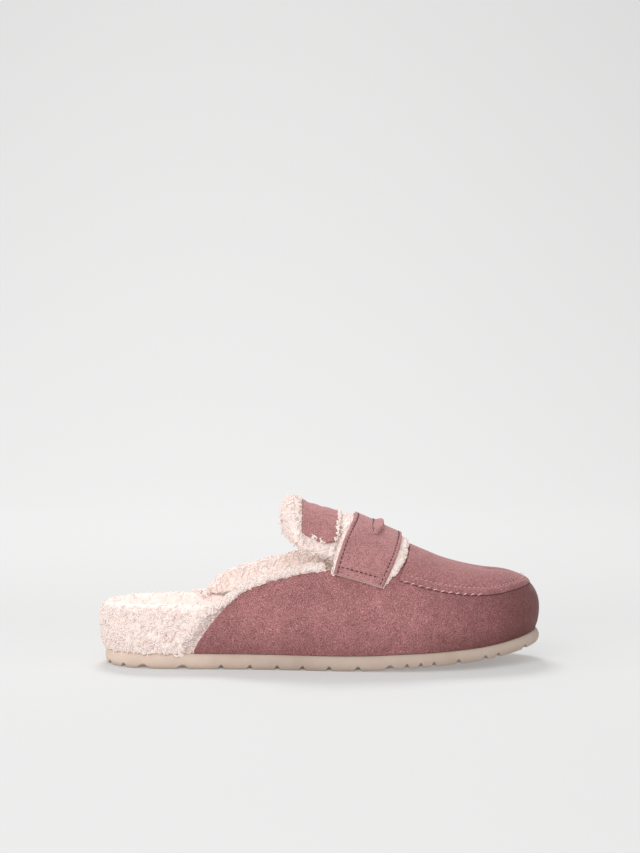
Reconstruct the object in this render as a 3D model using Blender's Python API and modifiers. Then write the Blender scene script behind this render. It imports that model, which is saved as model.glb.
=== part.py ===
"""Clog slipper: a right shoe, a slip-on mule with a moccasin apron, a saddle strap and a fleece lining.

The toe points along +X, the outer (lateral) side of the foot faces -Y, and the floor is Z = 0.
"""
import math

import bmesh
import bpy
import numpy as np

# Driving sizes, in metres
SOLE_LENGTH = 0.258
BALL_WIDTH = 0.094
INSTEP_HEIGHT = 0.083
FOOTBED_RIM_HEIGHT = 0.038
SOLE_THICKNESS = 0.0091
SOLE_FLARE = 0.0016
TOE_SPRING = 0.011
TREAD_NOTCH_WIDTH = 0.0056
TREAD_NOTCH_DEPTH = 0.0023
TREAD_NOTCH_REACH = 0.0080
TREAD_GROOVE_WIDTH = 0.0030
TREAD_GROOVE_DEPTH = 0.0016
FEATHER_INSET = 0.0019
UPPER_WALL = 0.0020
UPPER_SWELL = 0.0024
APRON_RIDGE = 0.0020
APRON_TOE_THINNING = 0.42
STRAP_LEATHER = 0.0018
STRAP_FLEECE_PILE = 0.0028
STRAP_FLEECE_PRESSED = 0.0012
APRON_START_GAP = 0.0015
KEEPER_RISE = 0.0022
KEEPER_WIDTH = 0.0056
TONGUE_PILE = 0.0095
TONGUE_ROOT = 0.0059
TONGUE_LEATHER = 0.0015
TONGUE_PATCH_GAP = 0.0016
COLLAR_PILE = 0.0050
COLLAR_STAND = 0.0056
COLLAR_START_LATERAL = 0.256
COLLAR_START_MEDIAL = 0.230
COLLAR_END = 0.500
HEEL_FLEECE_SWELL = 0.0034
FOOTBED_CLEAR_OF_SUEDE = 0.0030
FOOTBED_TUCK_RUN = 0.0050
SEAT_EDGE_INSET = 0.0180
COLLAR_LIP_RISE = 0.0009
COLLAR_LIP_OVER = 0.0008
SEAM_GAP = 0.0003
LAYER_GAP = 0.0005

# Where features start and end along the sole, as shares of its length
FAN_START = 0.70
CROWN_END = 0.862
CROWN_END_REACH = 0.94
THROAT = 0.582


class Table:
    """Rows of shares with named columns, read on a smooth curve along the first column."""

    def __init__(self, columns, rows):
        self.columns = columns
        self.rows = rows

    def column(self, name):
        place = self.columns.index(name)
        return [row[place] for row in self.rows]

    def read(self, name, at):
        return smooth(self.column(self.columns[0]), self.column(name), at)


def smooth(xs, ys, at):
    """Value at a place on a smooth curve through points."""
    if at <= xs[0]:
        return ys[0]
    if at >= xs[-1]:
        return ys[-1]
    i = max(k for k in range(len(xs) - 1) if xs[k] <= at)
    slopes = []
    for k in (i, i + 1):
        before = max(k - 1, 0)
        after = min(k + 1, len(xs) - 1)
        slopes.append((ys[after] - ys[before]) / (xs[after] - xs[before]))
    span = xs[i + 1] - xs[i]
    u = (at - xs[i]) / span
    start = (1 + 2 * u) * (1 - u) ** 2 * ys[i] + u * (1 - u) ** 2 * span * slopes[0]
    end = u * u * (3 - 2 * u) * ys[i + 1] - u * u * (1 - u) * span * slopes[1]
    return start + end


# Plan of the sole: along is a share of SOLE_LENGTH, lateral and medial are shares of BALL_WIDTH
PLAN = Table(
    ("along", "lateral", "medial"),
    (
        (0.000, 0.000, 0.000),
        (0.030, 0.226, 0.226),
        (0.070, 0.310, 0.310),
        (0.128, 0.352, 0.350),
        (0.200, 0.370, 0.360),
        (0.300, 0.379, 0.342),
        (0.400, 0.405, 0.328),
        (0.500, 0.447, 0.352),
        (0.600, 0.484, 0.424),
        (0.660, 0.494, 0.472),
        (0.720, 0.489, 0.503),
        (0.780, 0.462, 0.514),
        (0.840, 0.408, 0.499),
        (0.900, 0.319, 0.457),
        (0.950, 0.200, 0.385),
        (0.980, 0.085, 0.302),
        (1.000, -0.117, 0.117),
    ),
)

# Side of the sole: along is a share of SOLE_LENGTH, spring of TOE_SPRING and thickness of SOLE_THICKNESS
SOLE_SIDE = Table(
    ("along", "spring", "thickness"),
    (
        (0.000, 0.000, 1.000),
        (0.300, 0.000, 0.980),
        (0.480, 0.000, 0.958),
        (0.500, 0.000, 0.955),
        (0.540, 0.008, 0.950),
        (0.600, 0.050, 0.940),
        (0.660, 0.140, 0.920),
        (0.740, 0.260, 0.870),
        (0.810, 0.380, 0.840),
        (0.864, 0.490, 0.820),
        (0.911, 0.630, 0.820),
        (0.957, 0.810, 0.830),
        (1.000, 1.000, 0.860),
    ),
)

# Tread: places of the notches in the sole's edge along its length, each with its width as a share of
# TREAD_NOTCH_WIDTH
TREAD = Table(
    ("along", "width"),
    (
        (0.013, 0.80),
        (0.047, 0.90),
        (0.092, 2.00),
        (0.183, 2.00),
        (0.270, 1.05),
        (0.335, 1.05),
        (0.397, 1.00),
        (0.454, 1.00),
        (0.514, 1.00),
        (0.579, 1.15),
        (0.651, 1.80),
        (0.689, 0.85),
        (0.720, 0.80),
        (0.750, 0.80),
        (0.806, 1.00),
        (0.868, 1.00),
        (0.898, 0.85),
        (0.962, 0.85),
    ),
)

# Crown of the last: along is a share of SOLE_LENGTH, height a share of INSTEP_HEIGHT,
# sideways a share of BALL_WIDTH towards the medial side, and fullness the power of the cross section
CROWN = Table(
    ("along", "height", "sideways", "fullness"),
    (
        (0.000, 1.190, 0.000, 2.9),
        (0.200, 1.175, 0.000, 2.9),
        (0.350, 1.145, 0.010, 2.8),
        (0.450, 1.098, 0.020, 2.6),
        (0.500, 1.064, 0.025, 2.5),
        (0.543, 1.030, 0.030, 2.4),
        (0.574, 0.996, 0.033, 2.35),
        (0.605, 0.956, 0.037, 2.3),
        (0.640, 0.904, 0.042, 2.3),
        (0.678, 0.846, 0.050, 2.3),
        (0.702, 0.814, 0.056, 2.3),
        (0.736, 0.767, 0.064, 2.35),
        (0.771, 0.720, 0.074, 2.4),
        (0.818, 0.671, 0.088, 2.6),
        (0.862, 0.637, 0.098, 2.8),
        (0.930, 0.627, 0.110, 3.2),
        (1.000, 0.627, 0.117, 3.5),
    ),
)

# Back edge of the suede on each side: along is a share of SOLE_LENGTH, height a share of INSTEP_HEIGHT
LATERAL_TOPLINE = Table(
    ("along", "height"),
    (
        (0.206, 0.120),
        (0.218, 0.190),
        (0.238, 0.280),
        (0.263, 0.380),
        (0.289, 0.468),
        (0.322, 0.548),
        (0.359, 0.597),
        (0.432, 0.666),
        (0.502, 0.700),
        (0.540, 0.728),
        (0.560, 0.800),
        (0.573, 0.900),
    ),
)
MEDIAL_TOPLINE = Table(
    ("along", "height"),
    (
        (0.166, 0.120),
        (0.176, 0.190),
        (0.196, 0.294),
        (0.221, 0.398),
        (0.250, 0.487),
        (0.283, 0.555),
        (0.322, 0.598),
        (0.403, 0.672),
        (0.484, 0.734),
        (0.535, 0.780),
        (0.560, 0.830),
        (0.573, 0.910),
    ),
)

# Footbed: along is a share of SOLE_LENGTH, rim and seat are shares of FOOTBED_RIM_HEIGHT above the outsole
FOOTBED = Table(
    ("along", "rim", "seat"),
    (
        (0.000, 0.740, 0.560),
        (0.120, 0.745, 0.545),
        (0.200, 0.745, 0.520),
        (0.280, 0.700, 0.470),
        (0.400, 0.480, 0.360),
        (0.520, 0.310, 0.270),
        (0.650, 0.235, 0.200),
        (0.850, 0.215, 0.190),
        (1.000, 0.215, 0.190),
    ),
)

# Collar fleece: run is the share of the way from its rear end to its front end, stand is the share of
# COLLAR_STAND above the suede edge, hang the share of INSTEP_HEIGHT that it reaches down behind the suede
COLLAR = Table(
    ("run", "stand", "hang"),
    (
        (0.00, 0.75, 0.020),
        (0.12, 1.05, 0.060),
        (0.30, 1.05, 0.120),
        (0.60, 1.00, 0.170),
        (0.76, 1.00, 0.180),
        (0.92, 0.95, 0.180),
        (1.00, 0.85, 0.170),
    ),
)

# Apron seam: along is a share of SOLE_LENGTH, rise the share of the section's height at which it runs
APRON_SEAM = Table(
    ("along", "rise"),
    (
        (0.640, 0.690),
        (0.740, 0.690),
        (0.830, 0.700),
        (0.900, 0.725),
        (0.960, 0.775),
        (1.000, 0.805),
    ),
)

# Strap: rise is the share of the section's height, back and front are shares of SOLE_LENGTH
STRAP = Table(
    ("rise", "back", "front"),
    (
        (0.600, 0.523, 0.634),
        (0.700, 0.531, 0.646),
        (0.850, 0.546, 0.662),
        (1.000, 0.566, 0.674),
    ),
)
STRAP_END_RISE = 0.600
STRAP_END_SLANT = 0.024
STRAP_FLEECE_END_RISE = 0.612
SADDLE_RISES = (0.600, 0.650, 0.710, 0.770, 0.830, 0.885, 0.930, 0.965, 0.989, 1.000)
FLEECE_BACK_SHOW = 0.0052
FLEECE_FRONT_SHOW = 0.0050

# Tongue: along is a share of SOLE_LENGTH, lateral and medial are the shares of the section's height where the
# pile ends on each side, and lift is how far it stands over the last, as a share of TONGUE_PILE
TONGUE = Table(
    ("along", "lateral", "medial", "lift"),
    (
        (0.408, 0.900, 0.910, 0.30),
        (0.420, 0.840, 0.860, 0.62),
        (0.440, 0.785, 0.825, 0.60),
        (0.458, 0.760, 0.812, 0.24),
        (0.490, 0.745, 0.806, 0.14),
        (0.516, 0.740, 0.806, 0.12),
        (0.532, 0.740, 0.806, 0.11),
        (0.542, 0.745, 0.806, 0.06),
        (0.552, 0.770, 0.806, -0.50),
        (0.600, 0.800, 0.806, -0.50),
        (0.635, 0.800, 0.806, -0.50),
    ),
)
TONGUE_PATCH = Table(
    ("along", "lateral", "medial"),
    (
        (0.451, 0.835, 0.865),
        (0.470, 0.820, 0.860),
        (0.500, 0.804, 0.860),
        (0.520, 0.800, 0.860),
        (0.546, 0.826, 0.860),
    ),
)

LATERAL = -1.0
MEDIAL = 1.0


def ease(u):
    """Rise smoothly from 0 to 1."""
    u = min(1.0, max(0.0, u))
    return u * u * (3 - 2 * u)


def turn_of(along):
    """Angle round the plan, from 0 at the heel to pi at the toe, for a share of the length."""
    return math.acos(1 - 2 * min(1.0, max(0.0, along)))


def along_of(turn):
    return (1 - math.cos(turn)) / 2


def plan_round():
    """Angles round the whole plan with the sideways share there, past both ends so that the curve closes."""
    turns = [turn_of(along) for along in PLAN.column("along")]
    lateral = [-share for share in PLAN.column("lateral")]
    medial = PLAN.column("medial")
    angles = [-turn for turn in turns[:0:-1]] + turns + [2 * math.pi - turn for turn in turns[-2::-1]]
    sideways = medial[:0:-1] + lateral + medial[-2::-1]
    return angles, sideways


PLAN_ANGLES, PLAN_SIDEWAYS = plan_round()


def plan_point(turn, inset=0.0):
    """Point of the sole's outline, or of the outline moved inwards; turn runs round by the lateral side."""
    def raw(angle):
        return np.array((SOLE_LENGTH * along_of(angle), BALL_WIDTH * smooth(PLAN_ANGLES, PLAN_SIDEWAYS, angle)))

    step = 0.01
    ahead = raw(turn + step) - raw(turn - step)
    inward = np.array((-ahead[1], ahead[0])) / np.linalg.norm(ahead)
    return raw(turn) + inset * inward


def side_turn(along, side):
    turn = turn_of(along)
    return turn if side == LATERAL else 2 * math.pi - turn


def floor_rise(along):
    """Height of the sole's underside over the floor."""
    return TOE_SPRING * SOLE_SIDE.read("spring", along)


def sole_top(along):
    return floor_rise(along) + SOLE_THICKNESS * SOLE_SIDE.read("thickness", along)


def crown_point(along):
    """Point of the ridge line over the last that the section at this share of the length rises to."""
    if along > FAN_START:
        share = min(1.0, (along - FAN_START) / ((1 - FAN_START) * CROWN_END_REACH))
        steep = (1 - FAN_START) * CROWN_END_REACH / (CROWN_END - FAN_START)
        along = FAN_START + (CROWN_END - FAN_START) * (1 - (1 - share) ** steep)
    return np.array(
        (
            SOLE_LENGTH * along,
            BALL_WIDTH * CROWN.read("sideways", along),
            INSTEP_HEIGHT * CROWN.read("height", along),
        )
    )




def bare_last(along, side, climb):
    """Point of the last's skin; climb runs from 0 at the sole to 1 at the ridge."""
    foot = plan_point(side_turn(along, side), FEATHER_INSET)
    foot_height = sole_top(along) + SEAM_GAP
    crown = crown_point(along)
    fullness = CROWN.read("fullness", along)
    angle = climb * math.pi / 2
    inward = 1 - math.cos(angle) ** (2 / fullness)
    rise = math.sin(angle) ** (2 / fullness)
    across = crown[:2] - foot
    reach = np.linalg.norm(across)
    swell = UPPER_SWELL * 4 * rise * (1 - rise) * min(1.0, 0.35 + along ** 2)
    flat = foot + across * (inward - swell / reach)
    return np.array((flat[0], flat[1], foot_height + (crown[2] - foot_height) * rise))


def last_normal(along, side, climb):
    """Outward direction of the last's skin."""
    step = 0.002
    if climb > 1 - step:
        behind = crown_point(min(along, 1) - step)
        ahead = crown_point(min(along + step, 1))
        if ahead[0] - behind[0] < 1e-5:
            behind = crown_point(FAN_START + (1 - FAN_START) * CROWN_END_REACH - 0.03)
        run = ahead - behind
        normal = np.array((-run[2], 0.0, run[0]))
        return normal / np.linalg.norm(normal)
    turn = turn_of(along)
    back = along_of(max(turn - step, 0))
    if turn + step > math.pi:
        fore_point = bare_last(back, -side, climb)
    else:
        fore_point = bare_last(along_of(turn + step), side, climb)
    forward = fore_point - bare_last(back, side, climb)
    upward = bare_last(along, side, min(climb + step, 1)) - bare_last(along, side, max(climb - step, 0))
    normal = np.cross(forward, upward) * -side
    return normal / np.linalg.norm(normal)


def skin(along, side, climb, out=0.0):
    """Point at a distance outside the last's skin."""
    return bare_last(along, side, climb) + out * last_normal(along, side, climb)


def climb_at_rise(along, rise):
    """Climb at which the section has reached a share of its height."""
    fullness = CROWN.read("fullness", along)
    return math.asin(min(1.0, max(0.0, rise)) ** (fullness / 2)) * 2 / math.pi


def rise_at_climb(along, climb):
    return math.sin(climb * math.pi / 2) ** (2 / CROWN.read("fullness", along))


def climb_at_height(along, height):
    foot = sole_top(along) + SEAM_GAP
    return climb_at_rise(along, (height - foot) / (crown_point(along)[2] - foot))


def topline(side):
    return LATERAL_TOPLINE if side == LATERAL else MEDIAL_TOPLINE


def topline_height(along, side):
    return INSTEP_HEIGHT * topline(side).read("height", along)


def topline_along(height, side):
    """Share of the length at which the suede's back edge has this height."""
    rows = topline(side)
    return float(np.interp(height / INSTEP_HEIGHT, rows.column("height"), rows.column("along")))


for item in list(bpy.data.objects):
    bpy.data.objects.remove(item, do_unlink=True)
parts = bpy.data.collections.new("clog_slipper")
cutters = bpy.data.collections.new("cutters")
bpy.context.scene.collection.children.link(parts)
bpy.context.scene.collection.children.link(cutters)
root = bpy.data.objects.new("clog_slipper_root", None)
parts.objects.link(root)


def material(name, colour, roughness):
    made = bpy.data.materials.new(name)
    made.use_nodes = True
    surface = made.node_tree.nodes["Principled BSDF"]
    surface.inputs["Base Color"].default_value = (*colour, 1.0)
    surface.inputs["Roughness"].default_value = roughness
    surface.inputs["Metallic"].default_value = 0.0
    return made


def add_part(name, points, faces, finish, collection=None):
    """Make a named mesh object from points and faces, with doubled points joined."""
    mesh = bpy.data.meshes.new(name)
    work = bmesh.new()
    made = [work.verts.new(point) for point in points]
    for face in faces:
        corners = []
        for index in face:
            if made[index] not in corners:
                corners.append(made[index])
        work.faces.new(corners)
    bmesh.ops.remove_doubles(work, verts=work.verts, dist=0.00002)
    bmesh.ops.dissolve_degenerate(work, edges=work.edges, dist=0.00001)
    work.to_mesh(mesh)
    work.free()
    piece = bpy.data.objects.new(name, mesh)
    (collection or parts).objects.link(piece)
    piece.parent = root
    if finish is not None:
        mesh.materials.append(finish)
    mesh.shade_smooth()
    mesh.set_sharp_from_angle(angle=math.radians(50))
    return piece


def grid_faces(columns, rows, flip=False):
    faces = []
    for i in range(columns - 1):
        for j in range(rows - 1):
            corners = (i * rows + j, (i + 1) * rows + j, (i + 1) * rows + j + 1, i * rows + j + 1)
            faces.append(corners[::-1] if flip else corners)
    return faces


def thicken(piece, thickness, outward, weights=None):
    """Give an open skin its thickness, on its outer or its inner side."""
    wall = piece.modifiers.new("thickness", "SOLIDIFY")
    wall.thickness = thickness
    wall.offset = 1.0 if outward else -1.0
    if weights is not None:
        group = piece.vertex_groups.new(name="thickness")
        for index, weight in enumerate(weights):
            group.add([index], weight, "REPLACE")
        wall.vertex_group = "thickness"


def ring_solid(name, turns, rings, finish):
    """Solid of stacked closed rings over the plan, closed by ladders of faces across the first and last."""
    count = len(turns)
    points = [point for ring in rings for point in ring]
    faces = []
    for level in range(len(rings) - 1):
        low = level * count
        for i in range(count):
            j = (i + 1) % count
            faces.append((low + i, low + j, low + count + j, low + count + i))
    top = (len(rings) - 1) * count
    half = count // 2
    for i in range(half):
        a, b = i, i + 1
        c, d = (count - i - 1) % count, (count - i) % count
        faces.append((d, c, b, a))
        faces.append((top + a, top + b, top + c, top + d))
    return add_part(name, points, faces, finish)


def turns_round(alongs):
    """Angles round the plan for shares of the length from 0 to 1: lateral side out, medial side back."""
    out = [turn_of(along) for along in alongs]
    return out + [2 * math.pi - turn for turn in reversed(out[1:-1])]


def spaced(start, end, count):
    """Shares of the length between two of them, closer together near the heel and the toe."""
    return [along_of(turn) for turn in np.linspace(turn_of(start), turn_of(end), count)]


def floor_slope(along):
    step = 0.01
    return (floor_rise(along + step) - floor_rise(along - step)) / (2 * step * SOLE_LENGTH)


def add_prism(points, faces, near, far):
    """Closed prism between two four-cornered ends, each listed as low back, low front, high front, high back."""
    base = len(points)
    points += near + far
    for corners in ((0, 1, 2, 3), (7, 6, 5, 4), (0, 4, 5, 1), (1, 5, 6, 2), (2, 6, 7, 3), (3, 7, 4, 0)):
        faces.append(tuple(base + k for k in corners))


def tread_end(middle, y, width, depth, under):
    """Cross section of a cut in the underside, wider at the floor than at its roof."""
    along = middle / SOLE_LENGTH
    corners = []
    for x, height in ((-0.8, -under), (0.8, -under), (0.10, depth), (-0.10, depth)):
        run = x * width
        corners.append((middle + run, y, floor_rise(along) + floor_slope(along) * run + height))
    return corners


def add_wedge(points, faces, middle, share, edge_y, inner_y):
    """Notch in the sole's lower edge, deepest outside and running out inwards."""
    outward = math.copysign(TREAD_NOTCH_REACH / 2, edge_y - inner_y)
    width = TREAD_NOTCH_WIDTH * share
    outer = tread_end(middle, edge_y + outward, width, 1.5 * TREAD_NOTCH_DEPTH, 0.002)
    inner = tread_end(middle, inner_y, width * 0.6, -0.0002, 0.002)
    add_prism(points, faces, outer, inner)


def add_groove(points, faces, middle, start_y, end_y):
    """Straight groove across the middle of the underside."""
    start = tread_end(middle, start_y, TREAD_GROOVE_WIDTH, TREAD_GROOVE_DEPTH, 0.002)
    end = tread_end(middle, end_y, TREAD_GROOVE_WIDTH, TREAD_GROOVE_DEPTH, 0.002)
    add_prism(points, faces, start, end)


def build_outsole(finish):
    """Moulded sole: flared side, toe spring, and tread bars cut across its underside."""
    turns = turns_round(spaced(0, 1, 29))
    side_levels = (
        (0.00, SOLE_FLARE * 1.1),
        (0.30, SOLE_FLARE * 0.1),
        (0.62, 0.0),
        (1.00, SOLE_FLARE),
    )
    rings = []
    for share, inset in side_levels:
        ring = []
        for turn in turns:
            x, y = plan_point(turn, inset)
            along = along_of(turn)
            ring.append((x, y, floor_rise(along) + (sole_top(along) - floor_rise(along)) * share))
        rings.append(ring)
    sole = ring_solid("outsole", turns, rings, finish)
    points = []
    faces = []
    places = TREAD.column("along")
    for along, width in zip(places, TREAD.column("width")):
        turn = turn_of(along)
        lateral = plan_point(turn)[1]
        medial = plan_point(2 * math.pi - turn)[1]
        add_wedge(points, faces, SOLE_LENGTH * along, width, lateral, lateral + TREAD_NOTCH_REACH)
        add_wedge(points, faces, SOLE_LENGTH * along, width, medial, medial - TREAD_NOTCH_REACH)
    for before, after in zip(places[1:-2], places[2:-1]):
        along = (before + after) / 2
        turn = turn_of(along)
        lateral = plan_point(turn)[1] + 2 * TREAD_NOTCH_REACH
        medial = plan_point(2 * math.pi - turn)[1] - 2 * TREAD_NOTCH_REACH
        add_groove(points, faces, SOLE_LENGTH * along, lateral, medial)
    grooves = add_part("tread_grooves", points, faces, None, cutters)
    grooves.hide_render = True
    grooves.display_type = "WIRE"
    work = bmesh.new()
    work.from_mesh(grooves.data)
    bmesh.ops.recalc_face_normals(work, faces=work.faces)
    work.to_mesh(grooves.data)
    work.free()
    cut = sole.modifiers.new("tread", "BOOLEAN")
    cut.object = grooves
    cut.operation = "DIFFERENCE"
    cut.solver = "EXACT"


def build_footbed(finish):
    """Fleece-covered footbed: cupped at the heel, where its fleece swells out over the sole's edge."""
    alongs = spaced(0, 0.145, 7) + spaced(0.158, 0.300, 15) + spaced(0.330, 1, 16)
    turns = turns_round(alongs)
    inside = FEATHER_INSET + UPPER_WALL + LAYER_GAP
    # height is a share of the side's height, heel and covered are insets of the ring there
    levels = (
        (0.00, 0.0004, inside + 0.0002),
        (0.14, -HEEL_FLEECE_SWELL * 0.60, inside),
        (0.32, -HEEL_FLEECE_SWELL * 0.95, inside),
        (0.52, -HEEL_FLEECE_SWELL, inside),
        (0.70, -HEEL_FLEECE_SWELL * 0.95, inside + 0.0002),
        (0.86, -HEEL_FLEECE_SWELL * 0.55, inside + 0.0004),
        (0.97, 0.0014, inside + 0.0014),
        (1.00, 0.0060, inside + 0.0050),
    )
    rings = []
    for share, heel_inset, covered_inset in levels:
        ring = []
        for turn in turns:
            along = along_of(turn)
            side = LATERAL if turn <= math.pi else MEDIAL
            low = sole_top(along) + SEAM_GAP
            height = low + FOOTBED_RIM_HEIGHT * FOOTBED.read("rim", along) * share
            room = (topline_along(height, side) - along) * SOLE_LENGTH - FOOTBED_CLEAR_OF_SUEDE
            bare = ease(room / FOOTBED_TUCK_RUN)
            x, y = plan_point(turn, covered_inset + (heel_inset - covered_inset) * bare)
            ring.append((x, y, height))
        rings.append(ring)
    for inset, blend in ((SEAT_EDGE_INSET * 0.67, 0.55), (SEAT_EDGE_INSET, 1.0)):
        ring = []
        for turn in turns:
            along = along_of(turn)
            rim = FOOTBED_RIM_HEIGHT * FOOTBED.read("rim", along)
            seat = FOOTBED_RIM_HEIGHT * FOOTBED.read("seat", along)
            x, y = plan_point(turn, inset)
            ring.append((x, y, sole_top(along) + SEAM_GAP + rim + (seat - rim) * blend))
        rings.append(ring)
    ring_solid("footbed", turns, rings, finish)


def upper_alongs(side):
    start = topline(side).column("along")[0] + 0.003
    return (
        [start + k * 0.009 for k in range(4)]
        + spaced(start + 0.040, 0.530, 13)
        + [0.542, 0.552, 0.560, 0.567, 0.573, THROAT]
        + spaced(0.612, 0.900, 12)
        + spaced(0.925, 1.0, 7)
    )


def build_upper(finish):
    """Suede shell: vamp and both quarters in one hollow wall, open behind, at the throat and underneath."""
    rows = 15
    points = []
    faces = []
    for side in (LATERAL, MEDIAL):
        base = len(points)
        alongs = upper_alongs(side)
        for along in alongs:
            end = 1.0
            if along < THROAT:
                end = climb_at_height(along, topline_height(along, side))
            for row in range(rows):
                points.append(tuple(skin(along, side, end * row / (rows - 1))))
        for face in grid_faces(len(alongs), rows, flip=side == MEDIAL):
            faces.append(tuple(base + index for index in face))
    shell = add_part("upper", points, faces, finish)
    thicken(shell, UPPER_WALL, outward=False)


def build_apron(finish):
    """Moccasin plug on the vamp, with the raised ridge of its hand-sewn seam all round its edge."""
    depths = (0.0, 0.055, 0.11, 0.16, 0.24, 0.42, 0.62, 0.82, 1.0)
    ridge = (0.40, 0.95, 1.0, 0.85, 0.58, 0.56, 0.56, 0.56, 0.56)
    start_gap = (FLEECE_FRONT_SHOW + APRON_START_GAP) / SOLE_LENGTH
    fractions = spaced(0.0, 1.0, 13)
    points = []
    faces = []
    weights = []
    for side in (LATERAL, MEDIAL):
        base = len(points)
        for fraction in fractions:
            for depth, height in zip(depths, ridge):
                seam = climb_at_rise(FAN_START, APRON_SEAM.read("rise", FAN_START))
                rise = rise_at_climb(FAN_START, seam + (1 - seam) * depth)
                back = STRAP.read("front", rise) + start_gap
                along = along_of(turn_of(back) + (math.pi - turn_of(back)) * fraction)
                seam = climb_at_rise(along, APRON_SEAM.read("rise", along))
                points.append(tuple(skin(along, side, seam + (1 - seam) * depth, LAYER_GAP)))
                weights.append(height * (1 - APRON_TOE_THINNING * ease((fraction - 0.70) / 0.30)))
        for face in grid_faces(len(fractions), len(depths), flip=side == MEDIAL):
            faces.append(tuple(base + index for index in face))
    apron = add_part("apron", points, faces, finish)
    weights_now = []
    for vertex in apron.data.vertices:
        gaps = [np.linalg.norm(np.array(vertex.co) - np.array(point)) for point in points]
        weights_now.append(weights[int(np.argmin(gaps))])
    thicken(apron, APRON_RIDGE, True, weights_now)


def saddle_grid(rise_steps, edges, column_count, out, end_slant=0.0):
    """Points over the instep, from the lateral end up over the ridge and down to the medial end.

    edges gives the back and front share of the length at a rise; out gives the distance from the skin.
    Both ends reach down in front by end_slant, a share of the section's height.
    """
    points = []
    places = []
    for column in range(column_count):
        share = column / (column_count - 1)
        for side, steps in ((LATERAL, rise_steps), (MEDIAL, rise_steps[-2::-1])):
            for step in steps:
                back, front = edges(step)
                along = back + (front - back) * share
                rise = step - end_slant * share * (1 - step) / (1 - STRAP_END_RISE)
                climb = climb_at_rise(along, rise)
                points.append(tuple(skin(along, side, climb, out(along, rise))))
                places.append((along, rise))
    return points, places


def strap_fleece_pile(rise):
    """Thickness of the strap's fleece: pressed flat where the strap is sewn down, full over the instep."""
    full = ease((rise - STRAP_END_RISE) / 0.22)
    return STRAP_FLEECE_PRESSED + (STRAP_FLEECE_PILE - STRAP_FLEECE_PRESSED) * full


def fleece_back(rise):
    """Share of the length where the strap's fleece ends behind the strap, widest over the ridge."""
    show = 0.10 + 0.30 * ease((rise - STRAP_END_RISE) / 0.15) + 0.60 * ease((rise - 0.86) / 0.14)
    return STRAP.read("back", rise) - FLEECE_BACK_SHOW * show / SOLE_LENGTH


def build_strap_fleece(finish):
    rises = (STRAP_FLEECE_END_RISE,) + SADDLE_RISES[1:]

    def edges(rise):
        front_show = FLEECE_FRONT_SHOW * (0.10 + 0.90 * ease((rise - STRAP_END_RISE) / 0.28))
        return fleece_back(rise), STRAP.read("front", rise) + front_show / SOLE_LENGTH

    columns = 7
    points, places = saddle_grid(rises, edges, columns, lambda along, rise: LAYER_GAP, STRAP_END_SLANT)
    fleece = add_part("strap_fleece", points, grid_faces(columns, 2 * len(rises) - 1), finish)
    weights = [strap_fleece_pile(rise) / STRAP_FLEECE_PILE for along, rise in places]
    thicken(fleece, STRAP_FLEECE_PILE, True, weights)


def strap_out(along, rise):
    return LAYER_GAP + strap_fleece_pile(rise) + LAYER_GAP


def build_saddle_strap(finish):
    columns = 6

    def edges(rise):
        return STRAP.read("back", rise), STRAP.read("front", rise)

    points, places = saddle_grid(SADDLE_RISES, edges, columns, strap_out, STRAP_END_SLANT)
    strap = add_part("saddle_strap", points, grid_faces(columns, 2 * len(SADDLE_RISES) - 1), finish)
    thicken(strap, STRAP_LEATHER, True)


def build_keeper(finish):
    """Raised band across the middle of the strap, full in its middle and thin at both ends."""
    rises = (0.925, 0.945, 0.965, 0.989, 1.000)
    columns = 5
    half = KEEPER_WIDTH / 2 / SOLE_LENGTH

    def edges(rise):
        middle = (STRAP.read("back", rise) + STRAP.read("front", rise)) / 2
        reach = half * (0.40 + 0.60 * ease((rise - rises[0]) / 0.05))
        return middle - reach, middle + reach

    def out(along, rise):
        return strap_out(along, rise) + STRAP_LEATHER + LAYER_GAP

    points, places = saddle_grid(rises, edges, columns, out)
    keeper = add_part("keeper", points, grid_faces(columns, 2 * len(rises) - 1), finish)
    rows = 2 * len(rises) - 1
    weights = []
    for index, (along, rise) in enumerate(places):
        column = index // rows
        crest = math.sin(math.pi * (0.12 + 0.76 * column / (columns - 1)))
        weights.append(crest * (0.45 + 0.55 * ease((rise - rises[0]) / 0.05)))
    thicken(keeper, KEEPER_RISE, True, weights)


def tongue_rows():
    """Shares of the way from the tongue's side to the ridge, for its lateral and then its medial half."""
    steps = (0.0, 0.12, 0.28, 0.46, 0.64, 0.82, 1.0)
    return [(LATERAL, share) for share in steps] + [(MEDIAL, share) for share in steps[-2::-1]]


def tongue_climb(table, along, side, share):
    first = climb_at_rise(along, table.read("lateral" if side == LATERAL else "medial", along))
    return first + (1 - first) * share


def tongue_lift(along, climb):
    """Height of the pile's face over the last; in front it dips along the slanted back edge of the strap."""
    lean = fleece_back(1.0) - fleece_back(rise_at_climb(along, climb))
    return TONGUE_PILE * TONGUE.read("lift", along + lean * ease((along - 0.47) / 0.05))


def tongue_edge(share):
    """Roundness of the pile towards the tongue's two sides."""
    return 0.55 + 0.45 * ease(share / 0.25)


def build_tongue_fleece(finish):
    roll = (0.408, 0.414, 0.424, 0.434, 0.446, 0.458)
    bed = (0.478, 0.498, 0.510, 0.520, 0.528, 0.535)
    dip = (0.542, 0.552, 0.590, 0.635)
    alongs = roll + bed + dip
    base = -TONGUE_ROOT
    rows = tongue_rows()
    points = []
    weights = []
    for along in alongs:
        for side, share in rows:
            climb = tongue_climb(TONGUE, along, side, share)
            points.append(tuple(skin(along, side, climb, base)))
            weights.append((tongue_lift(along, climb) - base) * tongue_edge(share) / TONGUE_PILE)
    fleece = add_part("tongue_fleece", points, grid_faces(len(alongs), len(rows)), finish)
    thicken(fleece, TONGUE_PILE, True, weights)


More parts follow.
